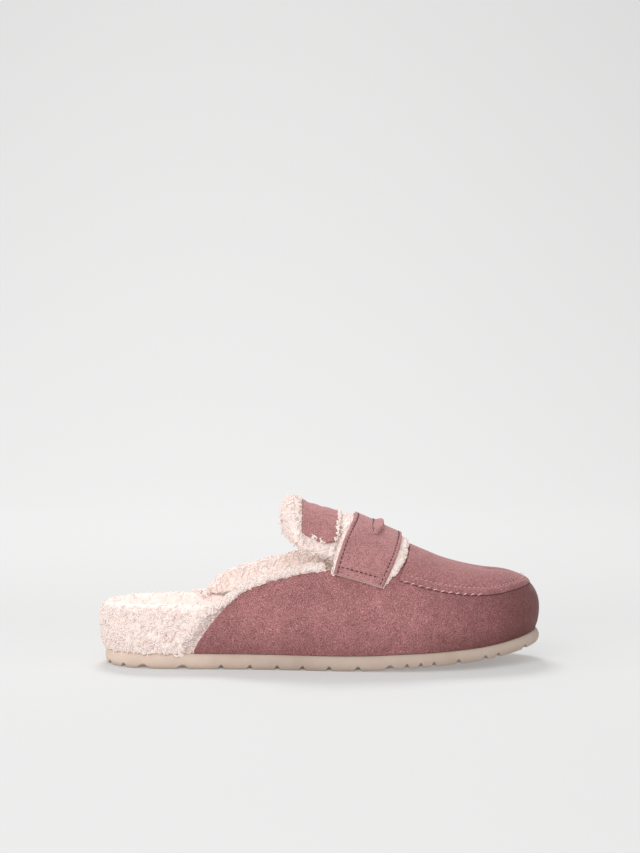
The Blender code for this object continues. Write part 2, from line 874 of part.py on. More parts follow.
def build_tongue(finish):
    """Suede patch on the tongue, its front edge along the fleece of the strap."""
    columns = 8
    rear = TONGUE_PATCH.column("along")[0]
    last = TONGUE_PATCH.column("along")[-1]
    rows = tongue_rows()
    points = []
    for column in range(columns):
        for side, share in rows:
            at = rear + (last - rear) * column / (columns - 1)
            climb = tongue_climb(TONGUE_PATCH, at, side, share)
            front = fleece_back(rise_at_climb(at, climb)) - TONGUE_PATCH_GAP / SOLE_LENGTH
            along = rear + (min(front, last) - rear) * column / (columns - 1)
            points.append(tuple(skin(along, side, climb, tongue_lift(along, climb) + LAYER_GAP)))
    patch = add_part("tongue", points, grid_faces(columns, len(rows)), finish)
    thicken(patch, TONGUE_LEATHER, True)


def build_collar(name, side, finish):
    """Fleece roll along one side of the opening: behind the suede below its edge, over it above."""
    first = COLLAR_START_LATERAL if side == LATERAL else COLLAR_START_MEDIAL
    alongs = spaced(first, COLLAR_END, 15)
    behind = -(UPPER_WALL + LAYER_GAP)
    points = []
    for number, along in enumerate(alongs):
        edge = topline_height(along, side)
        rim = sole_top(along) + SEAM_GAP + FOOTBED_RIM_HEIGHT * FOOTBED.read("rim", along)
        run = (along - first) / (COLLAR_END - first)
        low = max(edge - INSTEP_HEIGHT * COLLAR.read("hang", run), rim + LAYER_GAP)
        top = edge + COLLAR_STAND * COLLAR.read("stand", run)
        under = max(edge + COLLAR_LIP_RISE, low + SEAM_GAP)
        lip = under + SEAM_GAP
        thin = 0.55 if number in (0, len(alongs) - 1) else 1.0
        over = COLLAR_LIP_OVER * thin
        deep = behind - COLLAR_PILE * thin
        section = (
            (low, behind),
            (under, behind),
            (lip, over),
            ((lip + top) / 2, over),
            (top - 0.0010, -0.0012),
            (top, -0.0030),
            (top - 0.0012, deep * 0.82),
            ((low + top) / 2, deep),
            (low, deep * 0.90),
        )
        for height, out in section:
            points.append(tuple(skin(along, side, climb_at_height(along, height), out)))
    ring = len(section)
    faces = []
    for column in range(len(alongs) - 1):
        for index in range(ring):
            after = (index + 1) % ring
            low_corner = column * ring
            high_corner = low_corner + ring
            corners = (low_corner + index, high_corner + index, high_corner + after, low_corner + after)
            faces.append(corners if side == LATERAL else corners[::-1])
    rear = tuple(range(ring))
    front = tuple(range(len(points) - ring, len(points)))
    faces.append(rear if side == LATERAL else rear[::-1])
    faces.append(front[::-1] if side == LATERAL else front)
    add_part(name, points, faces, finish)


def centre_on_origin():
    """Shift the shoe so that its box is centred over the origin and stands on Z = 0."""
    bpy.context.view_layer.update()
    graph = bpy.context.evaluated_depsgraph_get()
    corners = []
    for piece in parts.objects:
        if piece.type == "MESH":
            mesh = piece.evaluated_get(graph).data
            corners += [tuple(vertex.co) for vertex in mesh.vertices]
    corners = np.array(corners)
    middle = (corners.min(axis=0) + corners.max(axis=0)) / 2
    root.location = (-middle[0], -middle[1], 0.0)
    bpy.context.view_layer.update()


suede = material("suede", (0.40, 0.155, 0.170), 0.95)
fleece = material("fleece", (0.90, 0.80, 0.75), 1.0)
rubber = material("sole_rubber", (0.72, 0.60, 0.52), 0.7)

build_outsole(rubber)
build_footbed(fleece)
build_upper(suede)
build_apron(suede)
build_collar("collar_fleece_lateral", LATERAL, fleece)
build_collar("collar_fleece_medial", MEDIAL, fleece)
build_tongue_fleece(fleece)
build_tongue(suede)
build_strap_fleece(fleece)
build_saddle_strap(suede)
build_keeper(suede)
centre_on_origin()
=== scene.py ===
import math

import bmesh
import bpy
import numpy as np
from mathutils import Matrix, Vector


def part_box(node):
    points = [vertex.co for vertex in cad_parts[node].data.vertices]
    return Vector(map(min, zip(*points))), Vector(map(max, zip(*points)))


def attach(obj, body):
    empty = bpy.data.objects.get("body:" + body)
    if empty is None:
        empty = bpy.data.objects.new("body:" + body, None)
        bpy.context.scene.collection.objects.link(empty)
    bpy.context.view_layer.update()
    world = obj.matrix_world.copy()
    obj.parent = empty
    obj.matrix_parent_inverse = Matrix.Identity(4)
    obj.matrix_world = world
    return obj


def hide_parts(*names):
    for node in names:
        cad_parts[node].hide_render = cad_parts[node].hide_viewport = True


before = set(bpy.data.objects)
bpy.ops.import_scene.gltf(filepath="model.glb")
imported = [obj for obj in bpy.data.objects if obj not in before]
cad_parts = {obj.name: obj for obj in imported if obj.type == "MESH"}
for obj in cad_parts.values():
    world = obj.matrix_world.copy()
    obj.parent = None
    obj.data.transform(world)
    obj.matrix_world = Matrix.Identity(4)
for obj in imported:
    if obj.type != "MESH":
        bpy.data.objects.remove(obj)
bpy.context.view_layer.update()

# The last
# The wooden form that the shoe is built on: the plan of the sole, the ridge over the instep and toes, and
# the full cross sections between them. Every leather and fleece piece below is pulled over it.
SOLE_LENGTH = 0.258
BALL_WIDTH = 0.094
INSTEP_HEIGHT = 0.083
SOLE_THICKNESS = 0.0091
TOE_SPRING = 0.011
FAN_START = 0.70
CROWN_END = 0.862
CROWN_END_REACH = 0.94
UPPER_SWELL = 0.0024
FEATHER_INSET = 0.0019
SEAM_GAP = 0.0003
LATERAL = -1.0
MEDIAL = 1.0


class Table:
    """Rows of shares with named columns, read on a smooth curve along the first column."""

    def __init__(self, columns, rows):
        self.columns = columns
        self.rows = np.array(rows)

    def column(self, name):
        return self.rows[:, self.columns.index(name)]

    def read(self, name, at):
        return smooth(self.rows[:, 0], self.column(name), at)


def smooth(xs, ys, at):
    """Values at places on a smooth curve through points."""
    xs = np.asarray(xs, float)
    ys = np.asarray(ys, float)
    slopes = np.empty(len(xs))
    slopes[1:-1] = (ys[2:] - ys[:-2]) / (xs[2:] - xs[:-2])
    slopes[0] = (ys[1] - ys[0]) / (xs[1] - xs[0])
    slopes[-1] = (ys[-1] - ys[-2]) / (xs[-1] - xs[-2])
    at = np.clip(at, xs[0], xs[-1])
    i = np.clip(np.searchsorted(xs, at, side="right") - 1, 0, len(xs) - 2)
    span = xs[i + 1] - xs[i]
    u = (at - xs[i]) / span
    start = (1 + 2 * u) * (1 - u) ** 2 * ys[i] + u * (1 - u) ** 2 * span * slopes[i]
    end = u * u * (3 - 2 * u) * ys[i + 1] - u * u * (1 - u) * span * slopes[i + 1]
    return start + end


PLAN = Table(
    ("along", "lateral", "medial"),
    (
        (0.000, 0.000, 0.000),
        (0.030, 0.226, 0.226),
        (0.070, 0.310, 0.310),
        (0.128, 0.352, 0.350),
        (0.200, 0.370, 0.360),
        (0.300, 0.379, 0.342),
        (0.400, 0.405, 0.328),
        (0.500, 0.447, 0.352),
        (0.600, 0.484, 0.424),
        (0.660, 0.494, 0.472),
        (0.720, 0.489, 0.503),
        (0.780, 0.462, 0.514),
        (0.840, 0.408, 0.499),
        (0.900, 0.319, 0.457),
        (0.950, 0.200, 0.385),
        (0.980, 0.085, 0.302),
        (1.000, -0.117, 0.117),
    ),
)
SOLE_SIDE = Table(
    ("along", "spring", "thickness"),
    (
        (0.000, 0.000, 1.000),
        (0.300, 0.000, 0.980),
        (0.480, 0.000, 0.958),
        (0.500, 0.000, 0.955),
        (0.540, 0.008, 0.950),
        (0.600, 0.050, 0.940),
        (0.660, 0.140, 0.920),
        (0.740, 0.260, 0.870),
        (0.810, 0.380, 0.840),
        (0.864, 0.490, 0.820),
        (0.911, 0.630, 0.820),
        (0.957, 0.810, 0.830),
        (1.000, 1.000, 0.860),
    ),
)
CROWN = Table(
    ("along", "height", "sideways", "fullness"),
    (
        (0.000, 1.190, 0.000, 2.90),
        (0.200, 1.175, 0.000, 2.90),
        (0.350, 1.145, 0.010, 2.80),
        (0.450, 1.098, 0.020, 2.60),
        (0.500, 1.064, 0.025, 2.50),
        (0.543, 1.030, 0.030, 2.40),
        (0.574, 0.996, 0.033, 2.35),
        (0.605, 0.956, 0.037, 2.30),
        (0.640, 0.904, 0.042, 2.30),
        (0.678, 0.846, 0.050, 2.30),
        (0.702, 0.814, 0.056, 2.30),
        (0.736, 0.767, 0.064, 2.35),
        (0.771, 0.720, 0.074, 2.40),
        (0.818, 0.671, 0.088, 2.60),
        (0.862, 0.637, 0.098, 2.80),
        (0.930, 0.627, 0.110, 3.20),
        (1.000, 0.627, 0.117, 3.50),
    ),
)


def ease(u):
    u = np.clip(u, 0.0, 1.0)
    return u * u * (3 - 2 * u)


def unit(vectors):
    return vectors / np.maximum(np.linalg.norm(vectors, axis=-1, keepdims=True), 1e-12)


def turn_of(along):
    return np.arccos(1 - 2 * np.clip(along, 0.0, 1.0))


def along_of(turn):
    return (1 - np.cos(turn)) / 2


def plan_round():
    turns = turn_of(PLAN.column("along"))
    lateral = -PLAN.column("lateral")
    medial = PLAN.column("medial")
    angles = np.concatenate((-turns[:0:-1], turns, 2 * math.pi - turns[-2::-1]))
    return angles, np.concatenate((medial[:0:-1], lateral, medial[-2::-1]))


PLAN_ANGLES, PLAN_SIDEWAYS = plan_round()


def plan_raw(turn):
    return np.stack((SOLE_LENGTH * along_of(turn), BALL_WIDTH * smooth(PLAN_ANGLES, PLAN_SIDEWAYS, turn)), -1)


whole_plan = plan_raw(np.linspace(0, 2 * math.pi, 721))
outsole_low, outsole_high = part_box("outsole")
SHIFT = np.array(
    (
        outsole_low[0] - whole_plan[:, 0].min(),
        (outsole_low[1] + outsole_high[1] - whole_plan[:, 1].min() - whole_plan[:, 1].max()) / 2,
        0.0,
    )
)


def plan_point(turn, inset=0.0):
    """Points of the sole's outline moved inwards; turn runs round by the lateral side."""
    step = 0.01
    ahead = unit(plan_raw(turn + step) - plan_raw(turn - step))
    inward = np.stack((-ahead[..., 1], ahead[..., 0]), -1)
    return plan_raw(turn) + np.asarray(inset)[..., None] * inward


def floor_rise(along):
    return TOE_SPRING * SOLE_SIDE.read("spring", along)


def sole_top(along):
    return floor_rise(along) + SOLE_THICKNESS * SOLE_SIDE.read("thickness", along)


def crown_point(along):
    share = np.clip((along - FAN_START) / ((1 - FAN_START) * CROWN_END_REACH), 0.0, 1.0)
    steep = (1 - FAN_START) * CROWN_END_REACH / (CROWN_END - FAN_START)
    fanned = FAN_START + (CROWN_END - FAN_START) * (1 - (1 - share) ** steep)
    along = np.where(along > FAN_START, fanned, along)
    return np.stack(
        (
            SOLE_LENGTH * along,
            BALL_WIDTH * CROWN.read("sideways", along),
            INSTEP_HEIGHT * CROWN.read("height", along),
        ),
        -1,
    )


def bare_last(along, side, climb):
    turn = turn_of(along)
    foot = plan_point(np.where(side == LATERAL, turn, 2 * math.pi - turn), np.full(np.shape(along), FEATHER_INSET))
    foot_height = sole_top(along) + SEAM_GAP
    crown = crown_point(along)
    fullness = CROWN.read("fullness", along)
    angle = np.clip(climb, 0.0, 1.0) * math.pi / 2
    inward = 1 - np.cos(angle) ** (2 / fullness)
    rise = np.sin(angle) ** (2 / fullness)
    across = crown[..., :2] - foot
    reach = np.linalg.norm(across, axis=-1)
    swell = UPPER_SWELL * 4 * rise * (1 - rise) * np.minimum(1.0, 0.35 + along ** 2)
    flat = foot + across * (inward - swell / reach)[..., None]
    return np.stack((flat[..., 0], flat[..., 1], foot_height + (crown[..., 2] - foot_height) * rise), -1)


def last_normal(along, side, climb):
    step = 0.002
    turn = turn_of(along)
    back = along_of(np.maximum(turn - step, 0))
    over = turn + step > math.pi
    fore_along = np.where(over, back, along_of(np.minimum(turn + step, math.pi)))
    fore_side = np.where(over, -side, side)
    forward = bare_last(fore_along, fore_side, climb) - bare_last(back, side, climb)
    upward = bare_last(along, side, climb + step) - bare_last(along, side, climb - step)
    normal = np.cross(forward, upward) * -side[..., None]
    crown_back = crown_point(np.minimum(along, 1) - step)
    crown_run = crown_point(np.minimum(along + step, 1)) - crown_back
    ended = crown_run[..., 0] < 1e-5
    last_back = crown_point(np.full(np.shape(along), FAN_START + (1 - FAN_START) * CROWN_END_REACH - 0.03))
    crown_run = np.where(ended[..., None], crown_point(along) - last_back, crown_run)
    ridge = np.stack((-crown_run[..., 2], 0 * along, crown_run[..., 0]), -1)
    normal = np.where((climb > 1 - step)[..., None], ridge, normal)
    return unit(normal)


def skin(along, side, climb, out=0.0):
    """Points at a distance outside the last, in the shoe's place in the world."""
    along, side, climb, out = np.broadcast_arrays(
        np.asarray(along, float), np.asarray(side, float), np.asarray(climb, float), np.asarray(out, float)
    )
    return bare_last(along, side, climb) + out[..., None] * last_normal(along, side, climb) + SHIFT


def climb_at_rise(along, rise):
    fullness = CROWN.read("fullness", along)
    return np.arcsin(np.clip(rise, 0.0, 1.0) ** (fullness / 2)) * 2 / math.pi


def rise_at_climb(along, climb):
    return np.sin(climb * math.pi / 2) ** (2 / CROWN.read("fullness", along))


def climb_at_height(along, height):
    foot = sole_top(along) + SEAM_GAP
    return climb_at_rise(along, (height - foot) / (crown_point(along)[..., 2] - foot))


def spaced(start, end, count):
    """Shares of the length, closer together near the heel and the toe."""
    return along_of(np.linspace(turn_of(start), turn_of(end), count))


# Outsole
# One moulded sole of pale beige rubber, cemented under the footbed and the suede. Its side is smooth and flares
# towards the floor, and its underside carries bars between straight grooves.
SOLE_FLARE = 0.0016
SOLE_COLOUR = (0.705, 0.560, 0.468)
SOLE_DULL = (0.630, 0.485, 0.395)
SOLE_PALE = (0.740, 0.595, 0.500)
# colour of the painted shade close to the floor and in the tread grooves
SOLE_SHADE_COLOUR = (0.36, 0.285, 0.235)
TREAD_NOTCH_WIDTH = 0.0056
TREAD_NOTCH_OUTER_DEPTH = 0.00437
TREAD_NOTCH_INNER_DEPTH = 0.0006
TREAD_NOTCH_REACH = 0.0080
TREAD_GROOVE_WIDTH = 0.0030
TREAD_GROOVE_DEPTH = 0.0016
TREAD = Table(
    ("along", "width"),
    (
        (0.013, 0.80),
        (0.047, 0.90),
        (0.092, 2.00),
        (0.183, 2.00),
        (0.270, 1.05),
        (0.335, 1.05),
        (0.397, 1.00),
        (0.454, 1.00),
        (0.514, 1.00),
        (0.579, 1.15),
        (0.651, 1.80),
        (0.689, 0.85),
        (0.720, 0.80),
        (0.750, 0.80),
        (0.806, 1.00),
        (0.868, 1.00),
        (0.898, 0.85),
        (0.962, 0.85),
    ),
)


def new_object(name, mesh, materials):
    mesh.shade_smooth()
    made = bpy.data.objects.new(name, mesh)
    bpy.context.scene.collection.objects.link(made)
    for finish in materials:
        mesh.materials.append(finish)
    return made


def add_mesh(name, points, faces, materials):
    """A named mesh object from faces with any number of corners, shaded smooth."""
    mesh = bpy.data.meshes.new(name)
    mesh.from_pydata([tuple(p) for p in points], [], [tuple(int(i) for i in f) for f in faces])
    mesh.validate()
    return new_object(name, mesh, materials)


def weld(piece, fill=False):
    """Fill the holes of a mesh where asked, join points that lie on each other, and turn all faces outwards."""
    work = bmesh.new()
    work.from_mesh(piece.data)
    if fill:
        bmesh.ops.holes_fill(work, edges=[e for e in work.edges if e.is_boundary], sides=0)
    bmesh.ops.remove_doubles(work, verts=work.verts, dist=0.00002)
    bmesh.ops.recalc_face_normals(work, faces=work.faces)
    work.to_mesh(piece.data)
    work.free()


class Nodes:
    """A tree of shader nodes, built step by step: each step gives back the socket that holds its result."""

    def __init__(self, tree):
        self.tree = tree

    def put(self, socket, value):
        if isinstance(value, bpy.types.NodeSocket):
            self.tree.links.new(value, socket)
        else:
            socket.default_value = (*value, 1.0) if isinstance(value, tuple) else value

    def give(self, node, **values):
        """Link or set a node's inputs; an underscore stands for a space in an input's name."""
        for name, value in values.items():
            self.put(node.inputs[name.replace("_", " ")], value)
        return node

    def add(self, kind, **values):
        return self.give(self.tree.nodes.new("ShaderNode" + kind), **values)

    def noise(self, place, scale, detail=3.0, roughness=0.5):
        return self.add("TexNoise", Scale=scale, Detail=detail, Roughness=roughness, Vector=place).outputs["Fac"]

    def ramp(self, source, *stops):
        made = self.add("ValToRGB", Fac=source)
        elements = made.color_ramp.elements
        while len(elements) < len(stops):
            elements.new(0.5)
        for element, (share, colour) in zip(elements, stops):
            element.position = share
            element.color = (*colour, 1.0)
        return made.outputs["Color"]

    def span(self, source, low, high, to_low=0.0, to_high=1.0):
        """The source's span from low to high, drawn onto another span and held at its ends."""
        made = self.add("MapRange", From_Min=low, From_Max=high, To_Min=to_low, To_Max=to_high, Value=source)
        return made.outputs["Result"]

    def mix(self, factor, first, second, kind="RGBA"):
        made = self.add("Mix")
        made.data_type = kind
        return self.give(made, Factor=factor, A=first, B=second).outputs["Result"]

    def maths(self, operation, *values):
        made = self.add("Math")
        made.operation = operation
        for socket, value in zip(made.inputs, values):
            self.put(socket, value)
        return made.outputs[0]

    def scaled(self, colour, share):
        made = self.add("VectorMath")
        made.operation = "SCALE"
        self.put(made.inputs[0], colour)
        return self.give(made, Scale=share).outputs["Vector"]

    def axes(self, place):
        return self.add("SeparateXYZ", Vector=place).outputs

    def bump(self, height, strength, distance):
        return self.add("Bump", Strength=strength, Distance=distance, Height=height).outputs["Normal"]


def new_material(name):
    """A material, its nodes, its surface shader, and the place on the shoe as a texture coordinate."""
    made = bpy.data.materials.new(name)
    made.use_nodes = True
    nodes = Nodes(made.node_tree)
    return made, nodes, made.node_tree.nodes["Principled BSDF"], nodes.add("TexCoord").outputs["Object"]


def rubber_finish():
    """Matte rubber, with painted light: brighter at the heel and darker towards the toe, and painted shade close to the
    floor and in the tread grooves.
    """
    made, nodes, surface, place = new_material("sole_rubber_finish")
    tone = nodes.ramp(nodes.noise(place, 55.0, 4.0), (0.30, SOLE_DULL), (0.55, SOLE_COLOUR), (0.80, SOLE_PALE))
    axes = nodes.axes(place)
    # painted shade: the rubber darkens within 3 mm of the floor, in the grooves and at the foot of its side
    painted_floor_shade = nodes.span(axes["Z"], 0.0, 0.0030, 0.55, 0.0)
    # painted light: the rubber is brighter at the heel, where it turns to the light, and darker towards the toe
    painted_light_tone = nodes.scaled(tone, nodes.span(axes["X"], -0.125, -0.020, 1.15, 0.74))
    nodes.give(
        surface,
        Base_Color=nodes.mix(painted_floor_shade, painted_light_tone, SOLE_SHADE_COLOUR),
        Normal=nodes.bump(nodes.noise(place, 1500.0, 2.0), 0.25, 0.0002),
        Roughness=0.62,
        Specular_IOR_Level=0.35,
    )
    return made


def ring_piece(name, turns, rings, materials):
    """Stacked closed rings over the plan, closed by ladders of faces across the first and the last."""
    count = len(turns)
    points = np.concatenate(rings)
    faces = []
    for level in range(len(rings) - 1):
        low = level * count
        for i in range(count):
            j = (i + 1) % count
            faces.append((low + i, low + j, low + count + j, low + count + i))
    top = (len(rings) - 1) * count
    for i in range(count // 2):
        a, b = i, i + 1
        c, d = (count - i - 1) % count, (count - i) % count
        for face in ((d, c, b, a), (top + a, top + b, top + c, top + d)):
            faces.append(tuple(dict.fromkeys(face)))
    return add_mesh(name, points, faces, materials)


def turns_round(alongs):
    out = turn_of(alongs)
    return np.concatenate((out, 2 * math.pi - out[-2:0:-1]))


def make_outsole():
    turns = turns_round(spaced(0, 1, 111))
    along = along_of(turns)
    profile = (
        (0.00, 1.30),
        (0.04, 0.95),
        (0.16, 0.40),
        (0.40, 0.02),
        (0.60, 0.0),
        (0.80, 0.38),
        (0.93, 0.78),
        (0.985, 1.15),
        (1.00, 1.60),
    )
    rings = []
    for share, flare in profile:
        flat = plan_point(turns, np.full(len(turns), SOLE_FLARE * flare))
        height = floor_rise(along) + (sole_top(along) - floor_rise(along)) * share
        rings.append(np.column_stack((flat, height)) + SHIFT)
    sole = ring_piece("sole", turns, rings, [rubber_finish()])
    points = []
    faces = []

    def cut_end(middle, y, width, depth):
        place = middle / SOLE_LENGTH
        slope = (floor_rise(place + 0.01) - floor_rise(place - 0.01)) / (0.02 * SOLE_LENGTH)
        for x, height in ((-0.8, -0.002), (0.8, -0.002), (0.10, depth), (-0.10, depth)):
            points.append((middle + x * width, y, floor_rise(place) + slope * x * width + height))

    def add_cut(middle, start, end):
        base = len(points)
        cut_end(middle, *start)
        cut_end(middle, *end)
        for corners in ((0, 1, 2, 3), (7, 6, 5, 4), (0, 4, 5, 1), (1, 5, 6, 2), (2, 6, 7, 3), (3, 7, 4, 0)):
            faces.append(tuple(base + k for k in corners))

    reach = TREAD_NOTCH_REACH
    places = TREAD.column("along")
    for along, share in TREAD.rows:
        turn = turn_of(along)
        width = TREAD_NOTCH_WIDTH * share
        for edge, outward in ((plan_point(turn)[1], -reach), (plan_point(2 * math.pi - turn)[1], reach)):
            outer = (edge + outward / 2, width, TREAD_NOTCH_OUTER_DEPTH)
            add_cut(SOLE_LENGTH * along, outer, (edge - outward, width * 0.6, TREAD_NOTCH_INNER_DEPTH))
    for along in (places[1:-2] + places[2:-1]) / 2:
        turn = turn_of(along)
        groove = (TREAD_GROOVE_WIDTH, TREAD_GROOVE_DEPTH)
        lateral = plan_point(turn)[1] + 2 * reach
        medial = plan_point(2 * math.pi - turn)[1] - 2 * reach
        add_cut(SOLE_LENGTH * along, (lateral, *groove), (medial, *groove))
    cutter = add_mesh("tread_cutter", np.array(points) + SHIFT, faces, [])
    weld(cutter)
    cut = sole.modifiers.new("tread", "BOOLEAN")
    cut.object = cutter
    cut.operation = "DIFFERENCE"
    graph = bpy.context.evaluated_depsgraph_get()
    carved = bpy.data.meshes.new_from_object(sole.evaluated_get(graph))
    sole.modifiers.clear()
    sole.data = carved
    carved.shade_smooth()
    carved.set_sharp_from_angle(angle=math.radians(35))
    bpy.data.objects.remove(cutter, do_unlink=True)
    return sole


sole = make_outsole()
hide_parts("outsole")
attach(sole, "root")

# Footbed
# A foam bed wrapped in cream sheepskin-like pile: a cupped heel whose curly pile hangs a little over the sole's
# edge, and a smoother, brighter tread surface inside it. The pile is a lumpy skin with curled locks strewn over it.
FOOTBED_RIM_HEIGHT = 0.038
HEEL_FLEECE_SWELL = 0.0034
UPPER_WALL = 0.0020
LAYER_GAP = 0.0005
FLEECE_COLOUR = (0.915, 0.790, 0.745)
FLEECE_SHADE = (0.87, 0.72, 0.66)
FLEECE_LIGHT = (0.940, 0.835, 0.795)
# colour of the painted shade in the hollows between the locks
FLEECE_HOLLOW_SHADE = (0.490, 0.405, 0.365)
# painted light: the pile glows faintly, which brightens the wool
FLEECE_PAINTED_LIGHT_COLOUR = (1.0, 0.88, 0.83)
FLEECE_PAINTED_LIGHT = 0.12
SEAT_EDGE_INSET = 0.0180
RIM_EDGE_INSET = 0.0055
FOOTBED = Table(
    ("along", "rim", "seat"),
    (
        (0.000, 0.740, 0.560),
        (0.120, 0.745, 0.545),
        (0.200, 0.745, 0.520),
        (0.280, 0.700, 0.470),
        (0.400, 0.480, 0.360),
        (0.520, 0.310, 0.270),
        (0.650, 0.235, 0.200),
        (0.850, 0.215, 0.190),
        (1.000, 0.215, 0.190),
    ),
)
LATERAL_TOPLINE = Table(
    ("along", "height"),
    (
        (0.206, 0.120),
        (0.218, 0.190),
        (0.238, 0.280),
        (0.263, 0.380),
        (0.289, 0.468),
        (0.322, 0.548),
        (0.359, 0.597),
        (0.432, 0.666),
        (0.502, 0.700),
        (0.540, 0.728),
        (0.560, 0.800),
        (0.573, 0.900),
    ),
)
MEDIAL_TOPLINE = Table(
    ("along", "height"),
    (
        (0.166, 0.120),
        (0.176, 0.190),
        (0.196, 0.294),
        (0.221, 0.398),
        (0.250, 0.487),
        (0.283, 0.555),
        (0.322, 0.598),
        (0.403, 0.672),
        (0.484, 0.734),
        (0.535, 0.780),
        (0.560, 0.830),
        (0.573, 0.910),
    ),
)


def topline(side):
    return LATERAL_TOPLINE if side == LATERAL else MEDIAL_TOPLINE


def topline_height(along, side):
    return INSTEP_HEIGHT * topline(side).read("height", along)


def topline_along(height, side):
    rows = topline(side)
    return np.interp(np.asarray(height) / INSTEP_HEIGHT, rows.column("height"), rows.column("along"))


def fleece_finish(name):
    """Wool pile: cream, lighter at the tips, with painted shade between the locks and a faint painted glow over all,
    soft and without gloss.
    """
    made, nodes, surface, place = new_material(name)
    cloud = nodes.noise(place, 160.0, 3.0, 0.6)
    tone = nodes.ramp(cloud, (0.30, FLEECE_SHADE), (0.50, FLEECE_COLOUR), (0.72, FLEECE_LIGHT))
    # painted shade: the colour darkens where the pile's surface is hollow, between the locks
    painted_hollow_shade = nodes.span(nodes.add("NewGeometry").outputs["Pointiness"], 0.36, 0.50)
    nodes.give(
        surface,
        Base_Color=nodes.mix(painted_hollow_shade, FLEECE_HOLLOW_SHADE, tone),
        Normal=nodes.bump(nodes.noise(place, 1300.0, 2.0, 0.6), 0.5, 0.0003),
        Roughness=1.0,
        Specular_IOR_Level=0.10,
        Sheen_Weight=0.25,
        Sheen_Roughness=0.6,
        # painted light: a faint glow that brightens the wool
        Emission_Color=FLEECE_PAINTED_LIGHT_COLOUR,
        Emission_Strength=FLEECE_PAINTED_LIGHT,
    )
    return made


fleece = fleece_finish("curly_fleece")


def add_quads(name, points, quads, materials):
    """A named mesh object from arrays of points and four-cornered faces, shaded smooth."""
    mesh = bpy.data.meshes.new(name)
    mesh.vertices.add(len(points))
    mesh.vertices.foreach_set("co", np.ascontiguousarray(points, dtype=np.float32).ravel())
    mesh.loops.add(4 * len(quads))
    mesh.loops.foreach_set("vertex_index", np.ascontiguousarray(quads, dtype=np.int32).ravel())
    mesh.polygons.add(len(quads))
    mesh.polygons.foreach_set("loop_start", np.arange(0, 4 * len(quads), 4, dtype=np.int32))
    mesh.update(calc_edges=True)
    return new_object(name, mesh, materials)


def ripple(points, wavelength, seed, count=16):
    """Smooth random field through space, mostly between -1 and 1, with the same values each time."""
    made = np.random.default_rng(seed)
    waves = made.normal(size=(count, 3))
    waves *= (2 * math.pi / wavelength * made.uniform(0.7, 1.3, count) / np.linalg.norm(waves, axis=1))[:, None]
    starts = made.uniform(0, 2 * math.pi, count)
    return np.sin(points @ waves.T + starts).sum(axis=1) * math.sqrt(2 / count) * 0.6


def points_of(piece, kind="co"):
    """Places of a mesh's points or, with "normal", their normals."""
    got = np.empty(3 * len(piece.data.vertices), dtype=np.float32)
    piece.data.vertices.foreach_get(kind, got)
    return got.reshape(-1, 3).astype(float)


def puff(piece, lumps, where=None, sink=0.0):
    """Lumpy pile: moves a mesh along its normals by layers of (wavelength, height), and in by a sink."""
    points = points_of(piece)
    moved = np.full(len(points), -sink)
    for number, (wavelength, height) in enumerate(lumps):
        field = ripple(points, wavelength, 40 + number)
        moved += height * (0.1 - 1.7 * np.abs(field)) + 0.25 * height
    if where is not None:
        moved = moved * where(points)
    points = points + points_of(piece, "normal") * moved[:, None]
    piece.data.vertices.foreach_set("co", points.astype(np.float32).ravel())
    piece.data.update()


def tubes(centres, radii, across, sides=3):
    """Points and faces of many thin tubes: centres (tube, step, xyz), radii (tube, step), across (tube, xyz)."""
    ahead = unit(np.gradient(centres, axis=1))
    right = unit(np.cross(ahead, across[:, None, :]))
    up = np.cross(right, ahead)
    turn = np.arange(sides) * 2 * math.pi / sides
    ring = np.cos(turn)[:, None] * right[:, :, None, :] + np.sin(turn)[:, None] * up[:, :, None, :]
    points = centres[:, :, None, :] + radii[:, :, None, None] * ring
    count, steps = radii.shape
    tube, step, side = np.meshgrid(np.arange(count), np.arange(steps - 1), np.arange(sides), indexing="ij")
    after = (side + 1) % sides
    base = (tube * steps + step) * sides
    faces = np.stack((base + side, base + sides + side, base + sides + after, base + after), -1)
    return points.reshape(-1, 3), faces.reshape(-1, 4)


def scatter(piece, count, wanted, seed):
    """Random places on a mesh with their normals, denser where wanted(points, normals) is high."""
    made = np.random.default_rng(seed)
    mesh = piece.data
    mesh.calc_loop_triangles()
    corners = np.empty(3 * len(mesh.loop_triangles), dtype=np.int32)
    mesh.loop_triangles.foreach_get("vertices", corners)
    corners = corners.reshape(-1, 3)
    points = points_of(piece)
    normals = points_of(piece, "normal")
    a, b, c = (points[corners[:, k]] for k in range(3))
    weight = np.linalg.norm(np.cross(b - a, c - a), axis=1)
    weight = weight * wanted((a + b + c) / 3, normals[corners].mean(axis=1))
    pick = made.choice(len(weight), count, p=weight / weight.sum())
    share = made.uniform(size=(count, 2))
    share = np.where(share.sum(axis=1, keepdims=True) > 1, 1 - share, share)
    share = np.column_stack((1 - share.sum(axis=1), share))
    place = (points[corners[pick]] * share[:, :, None]).sum(axis=1)
    normal = (normals[corners[pick]] * share[:, :, None]).sum(axis=1)
    return place, unit(normal), made


